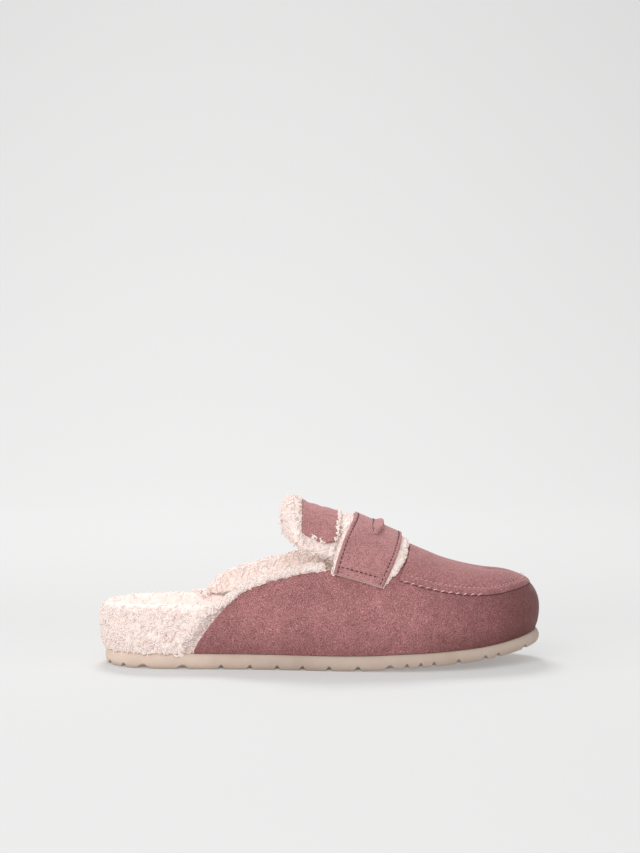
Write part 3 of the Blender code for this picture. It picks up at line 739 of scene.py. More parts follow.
def curl_locks(name, piece, count, wanted, seed, size=0.0012, strand=0.00034, turns=(0.5, 1.1), lift=0.5, comb=None):
    """Curled locks of wool over a mesh; comb is the way and distance that the locks run, if they hang."""
    place, normal, made = scatter(piece, count, wanted, seed)
    first = unit(np.cross(normal, made.normal(size=(count, 3))))
    second = np.cross(normal, first)
    tilt = made.uniform(-0.6, 0.6, count)[:, None]
    second = second * np.cos(tilt) + normal * np.sin(tilt)
    steps = np.linspace(0, 1, 7)
    angle = made.uniform(*turns, count)[:, None] * 2 * math.pi * steps
    reach = size * made.uniform(0.65, 1.3, count)[:, None]
    radius = reach * (1 - 0.45 * steps)
    height = reach * lift * (np.sin(math.pi * steps) - 0.25) - 0.55 * strand
    centres = (
        place[:, None, :]
        + (radius * np.cos(angle))[:, :, None] * first[:, None, :]
        + (radius * np.sin(angle))[:, :, None] * second[:, None, :]
        + height[:, :, None] * normal[:, None, :]
    )
    if comb is not None:
        pulled = np.asarray(comb, float)[None, :] - (normal @ np.asarray(comb, float))[:, None] * normal * 0.8
        centres = centres + pulled[:, None, :] * (steps * made.uniform(0.5, 1.2, count)[:, None])[:, :, None]
    thick = strand * made.uniform(0.7, 1.3, count)[:, None] * (0.25 + 0.75 * np.sin(math.pi * (0.12 + 0.80 * steps)))
    return add_quads(name, *tubes(centres, thick, normal), [fleece])


def closed_sheet(grid):
    """Faces of a grid of points whose rows close into rings."""
    columns, rows = grid.shape[:2]
    i, j = np.meshgrid(np.arange(columns - 1), np.arange(rows), indexing="ij")
    after = (j + 1) % rows
    return np.stack((i * rows + j, (i + 1) * rows + j, (i + 1) * rows + after, i * rows + after), -1).reshape(-1, 4)


def bare_share(along, height, side):
    """How far a place at the footbed's side is clear of the suede's back edge: 0 behind the suede, 1 bare."""
    room = (topline_along(height, side) - along) * SOLE_LENGTH - 0.0030
    return ease(room / 0.0050)


def make_footbed():
    """Cross sections from the lateral foot of the side, over the rim and the seat, to the medial foot."""
    along = np.concatenate((spaced(0, 0.30, 130)[:-1], spaced(0.30, 1.0, 50)))
    turn = turn_of(along)
    inside = FEATHER_INSET + UPPER_WALL + LAYER_GAP
    shares = np.array((0.00, 0.14, 0.32, 0.52, 0.70, 0.86, 0.97, 1.00))
    heel = HEEL_FLEECE_SWELL * np.array((-0.10, -0.60, -0.95, -1.0, -0.95, -0.55, 0.42, 1.76))
    covered = inside + np.array((0.0002, 0.0, 0.0, 0.0, 0.0002, 0.0004, 0.0014, 0.0050))
    arc = np.linspace(0, 1, len(shares))
    fine = np.linspace(0, 1, 34)
    low = sole_top(along) + SEAM_GAP
    rim = FOOTBED_RIM_HEIGHT * FOOTBED.read("rim", along)
    seat = FOOTBED_RIM_HEIGHT * FOOTBED.read("seat", along)
    halves = []
    for side in (LATERAL, MEDIAL):
        round_turn = turn if side == LATERAL else 2 * math.pi - turn
        rows = []
        for share, heel_inset, covered_inset in zip(
            smooth(arc, shares, fine), smooth(arc, heel, fine), smooth(arc, covered, fine)
        ):
            height = low + rim * share
            inset = covered_inset + (heel_inset - covered_inset) * bare_share(along, height, side)
            rows.append(np.column_stack((plan_point(round_turn, inset), height)))
        for step in np.linspace(0.08, 1.0, 16):
            inset = np.full(len(along), RIM_EDGE_INSET + (SEAT_EDGE_INSET - RIM_EDGE_INSET) * step)
            rows.append(np.column_stack((plan_point(round_turn, inset), low + rim + (seat - rim) * ease(step))))
        halves.append(np.stack(rows, 1))
    middle = [
        halves[0][:, -1] + (halves[1][:, -1] - halves[0][:, -1]) * share for share in np.linspace(0, 1, 26)[1:-1]
    ]
    grid = np.concatenate((halves[0], np.stack(middle, 1), halves[1][:, ::-1]), axis=1) + SHIFT
    piece = add_quads("footbed_fleece", grid.reshape(-1, 3), closed_sheet(grid), [fleece])
    weld(piece)
    return piece


footbed = make_footbed()


def suede_edge_along(shoe):
    """Share of the length where the suede's back edge lies at the height and side of each point."""
    return np.where(shoe[:, 1] > 0, topline_along(shoe[:, 2], MEDIAL), topline_along(shoe[:, 2], LATERAL))


def heel_side(points, normals):
    """Bare side of the heel, where the pile is left long and curly."""
    shoe = points - SHIFT
    outer = ease((0.75 - normals[:, 2]) / 0.35)
    bare = shoe[:, 0] / SOLE_LENGTH < suede_edge_along(shoe) - 0.001
    return np.where(bare, 1.0, 0.0) * outer * (shoe[:, 2] > 0.0100)


def heel_top(points, normals):
    shoe = points - SHIFT
    return np.where((shoe[:, 0] < 0.33 * SOLE_LENGTH) & (normals[:, 2] > 0.35), 1.0, 0.0)


puff(
    footbed,
    ((0.0064, 0.00070), (0.0030, 0.00055)),
    lambda points: 0.15 + 0.85 * heel_side(points, points_of(footbed, "normal")),
    sink=0.0006,
)
curls = curl_locks("heel_curls", footbed, 2300, heel_side, 11, size=0.0017, strand=0.00058, turns=(0.3, 0.9), lift=0.42)
fringe = curl_locks(
    "heel_fringe",
    footbed,
    300,
    lambda points, normals: heel_side(points, normals) * (points[:, 2] < 0.0145),
    12,
    size=0.0010,
    strand=0.00060,
    turns=(0.1, 0.35),
    comb=(0.0, 0.0, -0.0034),
)


def beside_suede(points, normals):
    """The bare side next to the suede's back edge, where the pile dives under it."""
    shoe = points - SHIFT
    room = suede_edge_along(shoe) - shoe[:, 0] / SOLE_LENGTH
    return np.where((room > 0.002) & (room < 0.034), 1.0, 0.0) * heel_side(points, normals)


tucked = curl_locks(
    "heel_edge_curls", footbed, 620, beside_suede, 14, size=0.0023, strand=0.00070, turns=(0.2, 0.6), lift=0.85
)
nap = curl_locks("seat_curls", footbed, 1100, heel_top, 13, size=0.0016, strand=0.00050, turns=(0.2, 0.6), lift=0.10)
for piece in (footbed, curls, fringe, tucked, nap):
    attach(piece, "root")
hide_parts("footbed")

# Upper
# Vamp and both quarters in one piece of dusty pink suede, brushed side out, lasted over the footbed. Its back
# edge is cut raw in an arc on each side, and its inner side is lined.
THROAT = 0.582
SUEDE_COLOUR = (0.385, 0.158, 0.160)
SUEDE_LIGHT = (0.600, 0.320, 0.320)
SUEDE_DARK = (0.200, 0.066, 0.068)
# colour of the painted shade at the toe's front and along the foot of the suede
SUEDE_PAINTED_SHADE = (0.085, 0.022, 0.020)
CUT_EDGE_DEEP = (0.300, 0.110, 0.105)
CUT_EDGE_PALE = (0.560, 0.300, 0.255)
LINING_DEEP = (0.62, 0.54, 0.48)
LINING_PALE = (0.86, 0.78, 0.72)


def suede_nap_group():
    """Brushed nap: short flecks, soft clouds where the pile leans another way, and its height."""
    group = bpy.data.node_groups.new("suede_nap", "ShaderNodeTree")
    face = group.interface
    for name, kind, default in (
        ("Vector", "NodeSocketVector", None),
        ("Colour", "NodeSocketColor", (*SUEDE_COLOUR, 1.0)),
        ("Light", "NodeSocketColor", (*SUEDE_LIGHT, 1.0)),
        ("Dark", "NodeSocketColor", (*SUEDE_DARK, 1.0)),
        ("Clouds", "NodeSocketFloat", 0.5),
    ):
        socket = face.new_socket(name, in_out="INPUT", socket_type=kind)
        if default is not None:
            socket.default_value = default
    face.new_socket("Colour", in_out="OUTPUT", socket_type="NodeSocketColor")
    face.new_socket("Height", in_out="OUTPUT", socket_type="NodeSocketFloat")
    nodes = Nodes(group)
    given = group.nodes.new("NodeGroupInput").outputs
    place = given["Vector"]
    fleck = nodes.noise(place, 1900.0, 2.0, 0.7)
    lighter = nodes.mix(nodes.span(fleck, 0.50, 0.66), given["Colour"], given["Light"])
    darker = nodes.mix(nodes.span(fleck, 0.50, 0.34), lighter, given["Dark"])
    cloud = nodes.span(nodes.noise(place, 48.0, 4.0, 0.6), 0.32, 0.68)
    patch = nodes.span(nodes.noise(place, 190.0, 3.0, 0.6), 0.30, 0.70)
    both = nodes.maths("MULTIPLY_ADD", cloud, 0.5, nodes.maths("MULTIPLY", patch, 0.5))
    shade = nodes.mix(given["Clouds"], 1.0, nodes.span(both, 0.0, 1.0, 0.72, 1.24), "FLOAT")
    nodes.give(
        group.nodes.new("NodeGroupOutput"),
        Colour=nodes.scaled(darker, shade),
        Height=nodes.maths("ADD", fleck, nodes.noise(place, 2600.0, 1.0)),
    )
    return group


SUEDE_NAP = suede_nap_group()


def suede_finish(name, clouds=0.7, colour=SUEDE_COLOUR, painted_shade=0.0):
    """Brushed suede; its last argument is how much painted shade darkens it towards the toe, where it turns away from
    the light, and partly so along the sole.
    """
    made, nodes, surface, place = new_material(name)
    nap = nodes.add("Group")
    nap.node_tree = SUEDE_NAP
    nodes.give(nap, Colour=colour, Clouds=clouds, Vector=place)
    axes = nodes.axes(place)
    # painted shade: darker towards the toe's front and near the sole, where the suede turns away from the light
    front = nodes.span(axes["X"], 0.052, 0.132, 0.0, painted_shade)
    low = nodes.span(axes["Z"], 0.009, 0.026, 0.42 * painted_shade, 0.0)
    nodes.give(
        surface,
        Base_Color=nodes.mix(nodes.maths("ADD", front, low), nap.outputs["Colour"], SUEDE_PAINTED_SHADE),
        Normal=nodes.bump(nap.outputs["Height"], 0.55, 0.00022),
        Roughness=0.95,
        Specular_IOR_Level=0.18,
        Sheen_Weight=0.22,
        Sheen_Roughness=0.40,
        Sheen_Tint=(1.0, 0.76, 0.76),
    )
    return made


def edge_finish(name, deep, pale):
    """Raw cut edge of the suede, paler than its face, with the fibres showing."""
    made, nodes, surface, place = new_material(name)
    nodes.give(surface, Base_Color=nodes.ramp(nodes.noise(place, 900.0), (0.35, deep), (0.65, pale)), Roughness=1.0)
    return made


def lining_finish():
    made, nodes, surface, place = new_material("lining_cloth")
    pile = nodes.noise(place, 420.0, 4.0, 0.6)
    tone = nodes.ramp(pile, (0.3, LINING_DEEP), (0.7, LINING_PALE))
    nodes.give(surface, Base_Color=tone, Normal=nodes.bump(pile, 0.9, 0.0012), Roughness=1.0)
    return made


suede_upper = suede_finish("suede_upper", painted_shade=0.78)
suede_edge = edge_finish("suede_cut_edge", CUT_EDGE_DEEP, CUT_EDGE_PALE)
lining = lining_finish()

# Soft folds of the suede: along and rise place each one's middle, reach and spread are its half length along
# the shoe and half width across, lean tilts it, and depth is how far it sinks (or stands, where negative)
CREASES = Table(
    ("along", "rise", "reach", "spread", "lean", "depth"),
    (
        (0.640, 0.40, 0.050, 0.050, -0.60, 0.00055),
        (0.690, 0.46, 0.045, 0.045, -0.40, 0.00045),
        (0.560, 0.34, 0.060, 0.060, 0.30, 0.00040),
        (0.760, 0.30, 0.070, 0.060, 0.20, 0.00035),
        (0.430, 0.36, 0.060, 0.070, 0.40, 0.00040),
        (0.840, 0.42, 0.045, 0.070, -0.20, 0.00040),
        (0.350, 0.30, 0.050, 0.060, 0.70, 0.00030),
        (0.720, 0.60, 0.035, 0.040, -0.30, -0.00030),
        (0.500, 0.52, 0.060, 0.050, 0.10, -0.00030),
    ),
)


def crease_depth(along, rise):
    """How far the creases move the suede at a place."""
    moved = np.zeros(np.shape(along))
    for middle, height, reach, spread, lean, depth in CREASES.rows:
        run = along - middle
        across = rise - height - lean * run
        moved = moved - depth * np.exp(-((run / reach) ** 2) - (across / spread) ** 2)
    return moved


def grid_faces(columns, rows, flip=False, base=0):
    i, j = np.meshgrid(np.arange(columns - 1), np.arange(rows - 1), indexing="ij")
    a = base + i * rows + j
    corners = np.stack((a, a + rows, a + rows + 1, a + 1), -1).reshape(-1, 4)
    return corners[:, ::-1] if flip else corners


def make_upper():
    rows = 60
    alongs = {}
    points = []
    faces = []
    slots = []
    for side in (LATERAL, MEDIAL):
        start = topline(side).column("along")[0] + 0.002
        alongs[side] = np.concatenate(
            (
                spaced(start, 0.30, 34)[:-1],
                spaced(0.30, 0.54, 36)[:-1],
                np.linspace(0.54, THROAT, 14),
                spaced(THROAT + 0.004, 0.93, 62)[:-1],
                spaced(0.93, 1.0, 34),
            )
        )
    for layer, depth in ((0, 0.0), (1, -UPPER_WALL)):
        for side in (LATERAL, MEDIAL):
            along = alongs[side]
            end = np.where(along < THROAT, climb_at_height(along, topline_height(along, side)), 1.0)
            climb = end[:, None] * np.linspace(0, 1, rows)[None, :]
            spread = np.broadcast_to(along[:, None], climb.shape)
            rise = rise_at_climb(spread, climb)
            out = np.full(climb.shape, depth)
            if layer == 0:
                out = out + crease_depth(spread, rise) * ease(rise / 0.15)
                # the edge along the sole is pulled in a little
                out = out - 0.00035 * np.exp(-((rise / 0.035) ** 2))
            grid = skin(spread, side, climb, out)
            base = len(points)
            points.extend(grid.reshape(-1, 3))
            made = grid_faces(len(along), rows, (side == MEDIAL) != (layer == 1), base)
            faces.extend(made)
            slots.extend([layer] * len(made))
    # close the wall along every free edge: the featherline, the topline and the throat
    sizes = [len(alongs[LATERAL]) * rows, len(alongs[MEDIAL]) * rows]
    starts = {(0, LATERAL): 0, (0, MEDIAL): sizes[0]}
    starts[(1, LATERAL)] = sizes[0] + sizes[1]
    starts[(1, MEDIAL)] = starts[(1, LATERAL)] + sizes[0]
    for side in (LATERAL, MEDIAL):
        columns = len(alongs[side])
        outer = starts[(0, side)]
        inner = starts[(1, side)]
        full = int(np.argmax(alongs[side] >= THROAT))
        for column in range(columns - 1):
            edges = [(column * rows, (column + 1) * rows, False)]
            if column < full:
                edges.append((column * rows + rows - 1, (column + 1) * rows + rows - 1, True))
            for a, b, top in edges:
                face = (outer + a, inner + a, inner + b, outer + b)
                faces.append(face if (side == LATERAL) != top else face[::-1])
                slots.append(2)
        for row in range(rows - 1):
            face = (outer + row, outer + row + 1, inner + row + 1, inner + row)
            faces.append(face if side == LATERAL else face[::-1])
            slots.append(2)
    shell = add_mesh("suede_shell", points, faces, [suede_upper, lining, suede_edge])
    shell.data.polygons.foreach_set("material_index", slots)
    weld(shell)
    shell.data.shade_smooth()
    shell.data.set_sharp_from_angle(angle=math.radians(60))
    return shell


upper = make_upper()
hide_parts("upper")
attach(upper, "root")


def inside_quarters(points, normals):
    """Inner side of the quarters in the opening, lined with the same curly pile."""
    shoe = points - SHIFT
    middle = BALL_WIDTH * 0.02
    inward = np.where(shoe[:, 1] > middle, -normals[:, 1], normals[:, 1])
    return np.where((shoe[:, 0] < 0.60 * SOLE_LENGTH) & (inward > 0.35) & (shoe[:, 2] > 0.020), 1.0, 0.0)


lining_curls = curl_locks(
    "quarter_lining_curls", upper, 1900, inside_quarters, 17, size=0.0018, strand=0.00055, lift=0.45
)
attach(lining_curls, "root")

# Apron
# The moccasin plug of the same suede, hand sewn to the vamp: its edge is gathered into a low puckered ridge by pale
# thread in long slanted stitches, with a line of small stitches running inside it.
SIDES = ((LATERAL, "lateral"), (MEDIAL, "medial"))
APRON_START_GAP = 0.0015
APRON_TOE_THINNING = 0.72
APRON_ROW_INSET = 0.0046
HAND_STITCHED = 0.42
HAND_STITCH_PITCH = 0.0045
FLEECE_FRONT_SHOW = 0.0050
THREAD_COLOUR = (0.740, 0.480, 0.470)
# dark thread of the strap and keeper stitches, also the painted shade line along the apron's edge
THREAD_DARK_AND_SEAM_SHADE = (0.085, 0.020, 0.028)
APRON_SEAM = Table(
    ("along", "rise"),
    (
        (0.640, 0.690),
        (0.740, 0.690),
        (0.830, 0.700),
        (0.900, 0.725),
        (0.960, 0.775),
        (1.000, 0.805),
    ),
)
STRAP = Table(
    ("rise", "back", "front"),
    (
        (0.600, 0.523, 0.634),
        (0.700, 0.531, 0.646),
        (0.850, 0.546, 0.662),
        (1.000, 0.566, 0.674),
    ),
)


def thread_finish(name, colour):
    """Waxed thread, with its plies a little paler and darker than its colour."""
    made, nodes, surface, place = new_material(name)
    pale = tuple(min(1.0, 1.25 * part) for part in colour)
    dull = tuple(0.75 * part for part in colour)
    tone = nodes.ramp(nodes.noise(place, 1800.0, 1.0), (0.35, dull), (0.65, pale))
    nodes.give(surface, Base_Color=tone, Roughness=0.75, Sheen_Weight=0.2)
    return made


pale_thread = thread_finish("pale_thread", THREAD_COLOUR)
dark_thread_and_seam_shade = thread_finish("dark_thread_and_seam_shade", THREAD_DARK_AND_SEAM_SHADE)


def slab(name, inner, outer, materials, rim_slot=0, end_slot=None):
    """A closed sheet between two grids of points; its rim may show other materials, along its two ends too."""
    columns, rows = inner.shape[:2]
    count = columns * rows
    face = grid_faces(columns, rows)
    back = face[:, ::-1] + count
    border = np.concatenate(
        (
            np.arange(columns - 1) * rows,
            (columns - 1) * rows + np.arange(rows - 1),
            np.arange(columns - 1, 0, -1) * rows + rows - 1,
            np.arange(rows - 1, 0, -1),
        )
    )
    after = np.roll(border, -1)
    rim = np.stack((after, border, border + count, after + count), -1)
    quads = np.concatenate((face, back, rim))
    points = np.concatenate((outer.reshape(-1, 3), inner.reshape(-1, 3)))
    made = add_quads(name, points, quads, materials)
    slots = np.zeros(len(quads), np.int32)
    edge = np.full(len(rim), rim_slot, np.int32)
    if end_slot is not None:
        edge[: columns - 1] = end_slot
        edge[columns + rows - 2 : 2 * columns + rows - 3] = end_slot
    slots[2 * len(face) :] = edge
    made.data.polygons.foreach_set("material_index", slots)
    weld(made)
    return made


def run_through(points, axis=0):
    """Distance walked through points along an axis of their grid, from 0."""
    run = np.cumsum(np.linalg.norm(np.diff(points, axis=axis), axis=-1), axis=axis)
    return np.insert(run, 0, 0.0, axis=axis)


def stitch_run(name, path, normals, pitch, fill, radius, sink, finish, slant=0.0, first=0.3):
    """Stitches along a line of closely spaced points: each dives into the suede at both of its ends."""
    run = run_through(path)
    count = int((run[-1] - pitch * first) / pitch)
    steps = np.linspace(0, 1, 7)
    at = pitch * (first + np.arange(count))[:, None] + pitch * fill * steps[None, :]
    at = np.minimum(at, run[-1])
    centre = np.stack([np.interp(at, run, path[:, k]) for k in range(3)], -1)
    normal = unit(np.stack([np.interp(at, run, normals[:, k]) for k in range(3)], -1))
    aside = np.cross(normal, unit(np.gradient(centre, axis=1)))
    rise = np.sin(math.pi * steps) ** 0.6
    centre = centre + normal * (sink * (rise - 1))[None, :, None] + aside * (slant * (steps - 0.5))[None, :, None]
    thick = radius * (0.35 + 0.65 * rise)[None, :] * np.ones((count, 1))
    return add_quads(name, *tubes(centre, thick, normal[:, 3], 6), [finish])


def surface_line(along, side, climb, out):
    """Points on a line over the last with their normals."""
    along, side, climb, out = np.broadcast_arrays(along, side, climb, out)
    return skin(along, side, climb, out), last_normal(along, side, climb)


def apron_place(fraction, depth):
    """Share of the length and climb at a fraction of the way to the toe and a depth in from the seam."""
    start = climb_at_rise(FAN_START, APRON_SEAM.read("rise", FAN_START))
    rise = rise_at_climb(FAN_START, start + (1 - start) * depth)
    back = STRAP.read("front", rise) + (FLEECE_FRONT_SHOW + APRON_START_GAP) / SOLE_LENGTH
    along = along_of(turn_of(back) + (math.pi - turn_of(back)) * fraction)
    seam = climb_at_rise(along, APRON_SEAM.read("rise", along))
    return along, seam + (1 - seam) * depth


def apron_height(across, run, fraction):
    """Face of the apron over the skin at a distance in from its edge, puckered along the seam."""
    edge = 0.00025 + 0.00095 * ease(across / 0.0012)
    ridge = 0.00065 * np.exp(-(((across - 0.0024) / 0.0015) ** 2))
    pucker = 0.00018 * np.sin(2 * math.pi * run / HAND_STITCH_PITCH) * np.exp(-(((across - 0.0020) / 0.0016) ** 2))
    groove = -0.00050 * np.exp(-(((across - APRON_ROW_INSET) / 0.00055) ** 2)) * ease((fraction - 0.02) / 0.05)
    dish = -0.00010 * ease((across - 0.004) / 0.004)
    return (edge + ridge + pucker + groove + dish) * (1 - APRON_TOE_THINNING * ease((fraction - 0.66) / 0.30))


def make_apron():
    fraction = np.linspace(0, 1, 180)
    depth = np.concatenate((np.linspace(0, 0.24, 30)[:-1], np.linspace(0.24, 1.0, 18)))
    outer, inner = [], []
    for side in (LATERAL, MEDIAL):
        along, climb = apron_place(fraction[:, None], depth[None, :])
        base = skin(along, side, climb)
        across = run_through(base, 1)
        out = LAYER_GAP + apron_height(across, run_through(base[:, 0])[:, None], fraction[:, None])
        out = out + crease_depth(along, rise_at_climb(along, climb)) * 0.6 * ease((across - 0.006) / 0.006)
        outer.append(skin(along, side, climb, out))
        inner.append(skin(along, side, climb, LAYER_GAP))
    face, back = (np.concatenate((half[0], half[1][:, -2::-1]), axis=1) for half in (outer, inner))
    return slab("moccasin_apron", back, face, [suede_apron, suede_edge], rim_slot=1)


def apron_line(side, away, out):
    """A line that keeps its distance in from the apron's edge, from the strap to the toe."""
    fraction = np.linspace(0.01, 1.0, 700)
    depth = np.linspace(0, 0.5, 90)
    along, climb = apron_place(fraction[:, None], depth[None, :])
    chosen = np.array([np.interp(away, row, depth) for row in run_through(skin(along, side, climb), 1)])
    along, climb = apron_place(fraction, chosen)
    return surface_line(along, side, climb, out)


suede_apron = suede_finish("suede_apron", clouds=0.6, painted_shade=0.15)
apron = make_apron()
apron_threads = []
for side, word in SIDES:
    # the hand stitches show over the rear of the seam only; further on the fold hides them in its shadow
    path, outward = apron_line(side, 0.0003, 0.0011)
    rear = slice(int(HAND_STITCHED * len(path)))
    seam = (HAND_STITCH_PITCH, 0.60, 0.00042, 0.0007, pale_thread, -0.0013 * side)
    apron_threads.append(stitch_run(f"apron_seam_{word}", path[rear], outward[rear], *seam))
    line = apron_line(side, APRON_ROW_INSET, LAYER_GAP + 0.0012)
    apron_threads.append(stitch_run(f"apron_row_{word}", *line, 0.0029, 0.66, 0.00022, 0.0003, pale_thread))
    # a thin dark cord along the apron's edge: painted shade of the gap between the apron and the vamp, partly its dark
    # thread
    path, outward = apron_line(side, 0.0, 0.00018)
    fold = tubes(path[None, ::3], np.full((1, len(path[::3])), 0.00030), outward[:1], 6)
    apron_threads.append(add_quads(f"apron_seam_shade_line_{word}", *fold, [dark_thread_and_seam_shade]))
for piece in [apron] + apron_threads:
    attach(piece, "root")
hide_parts("apron")

# Collar fleece
# Two rolls of cream pile, one along each side of the opening: they line the quarters and stand out over the
# raw edge of the suede, nubby near the edge and smoother inside.
COLLAR_PILE = 0.0050
COLLAR_STAND = 0.0056
COLLAR_START_LATERAL = 0.256
COLLAR_START_MEDIAL = 0.230
COLLAR_END = 0.500
COLLAR = Table(
    ("run", "stand", "hang"),
    (
        (0.00, 0.75, 0.020),
        (0.12, 1.05, 0.060),
        (0.30, 1.05, 0.120),
        (0.60, 1.00, 0.170),
        (0.76, 1.00, 0.180),
        (0.92, 0.95, 0.180),
        (1.00, 0.85, 0.170),
    ),
)


def make_collar(name, side):
    first = COLLAR_START_LATERAL if side == LATERAL else COLLAR_START_MEDIAL
    count = 110
    along = spaced(first, COLLAR_END, count)
    run = (along - first) / (COLLAR_END - first)
    behind = np.full(count, -(UPPER_WALL + LAYER_GAP))
    edge = topline_height(along, side)
    rim = sole_top(along) + SEAM_GAP + FOOTBED_RIM_HEIGHT * FOOTBED.read("rim", along)
    low = np.maximum(edge - INSTEP_HEIGHT * COLLAR.read("hang", run), rim + LAYER_GAP)
    top = edge + COLLAR_STAND * COLLAR.read("stand", run)
    under = np.maximum(edge + 0.0006, low + 0.0004)
    tip = ease(np.minimum(np.arange(count), np.arange(count)[::-1]) / 7.0)
    over = 0.0008 * (0.3 + 0.7 * tip)
    deep = behind - COLLAR_PILE * (0.3 + 0.7 * tip)
    middle = (low + top) / 2
    section = (
        (low, behind),
        (under, behind),
        (under + 0.0006, over),
        ((under + top) / 2, over + 0.0003),
        (top - 0.0012, np.full(count, -0.0008)),
        (top, np.full(count, -0.0030)),
        (top - 0.0012, deep * 0.82),
        (middle, deep),
        (low, deep * 0.90),
    )
    knots = np.linspace(0, 1, len(section))
    fine = np.linspace(0, 1, 40)
    height, out = (np.stack([smooth(knots, row, fine) for row in np.stack(part, 1)]) for part in zip(*section))
    grid = skin(along[:, None], side, climb_at_height(along[:, None], height), out)
    piece = add_quads(name, grid.reshape(-1, 3), closed_sheet(grid), [fleece])
    weld(piece, fill=True)
    return piece


def shows_over_suede(side):
    """Where the collar's pile stands above the suede's edge."""

    def wanted(points, normals=None):
        shoe = points - SHIFT
        return np.where(shoe[:, 2] > topline_height(shoe[:, 0] / SOLE_LENGTH, side) + 0.0006, 1.0, 0.35)

    return wanted


for side, word in SIDES:
    collar = make_collar(f"collar_pile_{word}", side)
    shows = shows_over_suede(side)
    puff(collar, ((0.0060, 0.00045), (0.0026, 0.00030)), shows)
    curls = curl_locks(
        f"collar_curls_{word}", collar, 1200, shows, 21, size=0.0015, strand=0.00052, turns=(0.3, 0.9), lift=0.40
    )
    for piece in (collar, curls):
        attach(piece, "root")
    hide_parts(f"collar_fleece_{word}")

# Tongue fleece
# The tongue's thick body of long cream pile, rolled back at its top and running down under the strap and vamp.
TONGUE_PILE = 0.0095
TONGUE_ROOT = 0.0059
STRAP_END_RISE = 0.600
STRAP_END_SLANT = 0.024
FLEECE_BACK_SHOW = 0.0052
TONGUE = Table(
    ("along", "lateral", "medial", "lift"),
    (
        (0.408, 0.900, 0.910, 0.30),
        (0.420, 0.840, 0.860, 0.62),
        (0.440, 0.785, 0.825, 0.60),
        (0.458, 0.760, 0.812, 0.24),
        (0.490, 0.745, 0.806, 0.14),
        (0.516, 0.740, 0.806, 0.12),
        (0.532, 0.740, 0.806, 0.11),
        (0.542, 0.745, 0.806, 0.06),
        (0.552, 0.770, 0.806, -0.50),
        (0.600, 0.800, 0.806, -0.50),
        (0.635, 0.800, 0.806, -0.50),
    ),
)


def fleece_back(rise):
    """Share of the length where the strap's fleece ends behind the strap, widest over the ridge."""
    show = 0.10 + 0.30 * ease((rise - STRAP_END_RISE) / 0.15) + 0.60 * ease((rise - 0.86) / 0.14)
    return STRAP.read("back", rise) - FLEECE_BACK_SHOW * show / SOLE_LENGTH


def tongue_lift(along, climb):
    """Height of the pile's face over the last; in front it dips along the slanted back edge of the strap."""
    lean = fleece_back(1.0) - fleece_back(rise_at_climb(along, climb))
    return TONGUE_PILE * TONGUE.read("lift", along + lean * ease((along - 0.47) / 0.05))


def tongue_places(along, table, share):
    """Climb over the last from the table's lateral end over the ridge to its medial end, as one row of places."""
    climb, side = [], []
    for at_side, name, shares in ((LATERAL, "lateral", share), (MEDIAL, "medial", share[-2::-1])):
        first = climb_at_rise(along, table.read(name, along))[:, None]
        climb.append(first + (1 - first) * shares[None, :])
        side.append(np.full((len(along), len(shares)), at_side))
    inward = np.concatenate((share, share[-2::-1]))
    return np.concatenate(climb, 1), np.concatenate(side, 1), np.broadcast_to(inward, (len(along), len(inward)))


def make_tongue_fleece():
    along = np.concatenate((np.linspace(0.408, 0.558, 82), np.linspace(0.564, 0.635, 14)))
    share = np.linspace(0, 1, 48) ** 1.3
    climb, side, inward = tongue_places(along, TONGUE, share)
    spread = np.broadcast_to(along[:, None], climb.shape)
    full = (0.55 + 0.45 * ease(inward / 0.25)) * ease((inward + 0.10) / 0.16)
    face = -TONGUE_ROOT + (tongue_lift(spread, climb) + TONGUE_ROOT) * full
    inner = skin(spread, side, climb, -TONGUE_ROOT)
    return slab("tongue_pile", inner, skin(spread, side, climb, face), [fleece])


def tongue_shows(points, normals):
    shoe = points - SHIFT
    return np.where((shoe[:, 0] < 0.552 * SOLE_LENGTH) & (normals[:, 2] > -0.85), 1.0, 0.0)


tongue_pile = make_tongue_fleece()
puff(
    tongue_pile,
    ((0.0075, 0.00070), (0.0034, 0.00055)),
    lambda points: (points[:, 0] < 0.545 * SOLE_LENGTH + SHIFT[0]) * 1.0,
)
curls = curl_locks(
    "tongue_curls", tongue_pile, 2200, tongue_shows, 31, size=0.0018, strand=0.00052, turns=(0.3, 0.9), lift=0.42
)
for piece in (tongue_pile, curls):
    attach(piece, "root")
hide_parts("tongue_fleece")

# Tongue
# A plain patch of suede laid on the tongue's pile, cut with a fine zigzag edge; the pile grows over its sides.
TONGUE_LEATHER = 0.0015
TONGUE_SUEDE_COLOUR = (0.505, 0.232, 0.230)
TONGUE_PATCH = Table(
    ("along", "lateral", "medial"),
    (
        (0.451, 0.835, 0.865),
        (0.470, 0.820, 0.860),
        (0.500, 0.804, 0.860),
        (0.520, 0.800, 0.860),
        (0.546, 0.826, 0.860),
    ),
)
TONGUE_PATCH_GAP = 0.0016


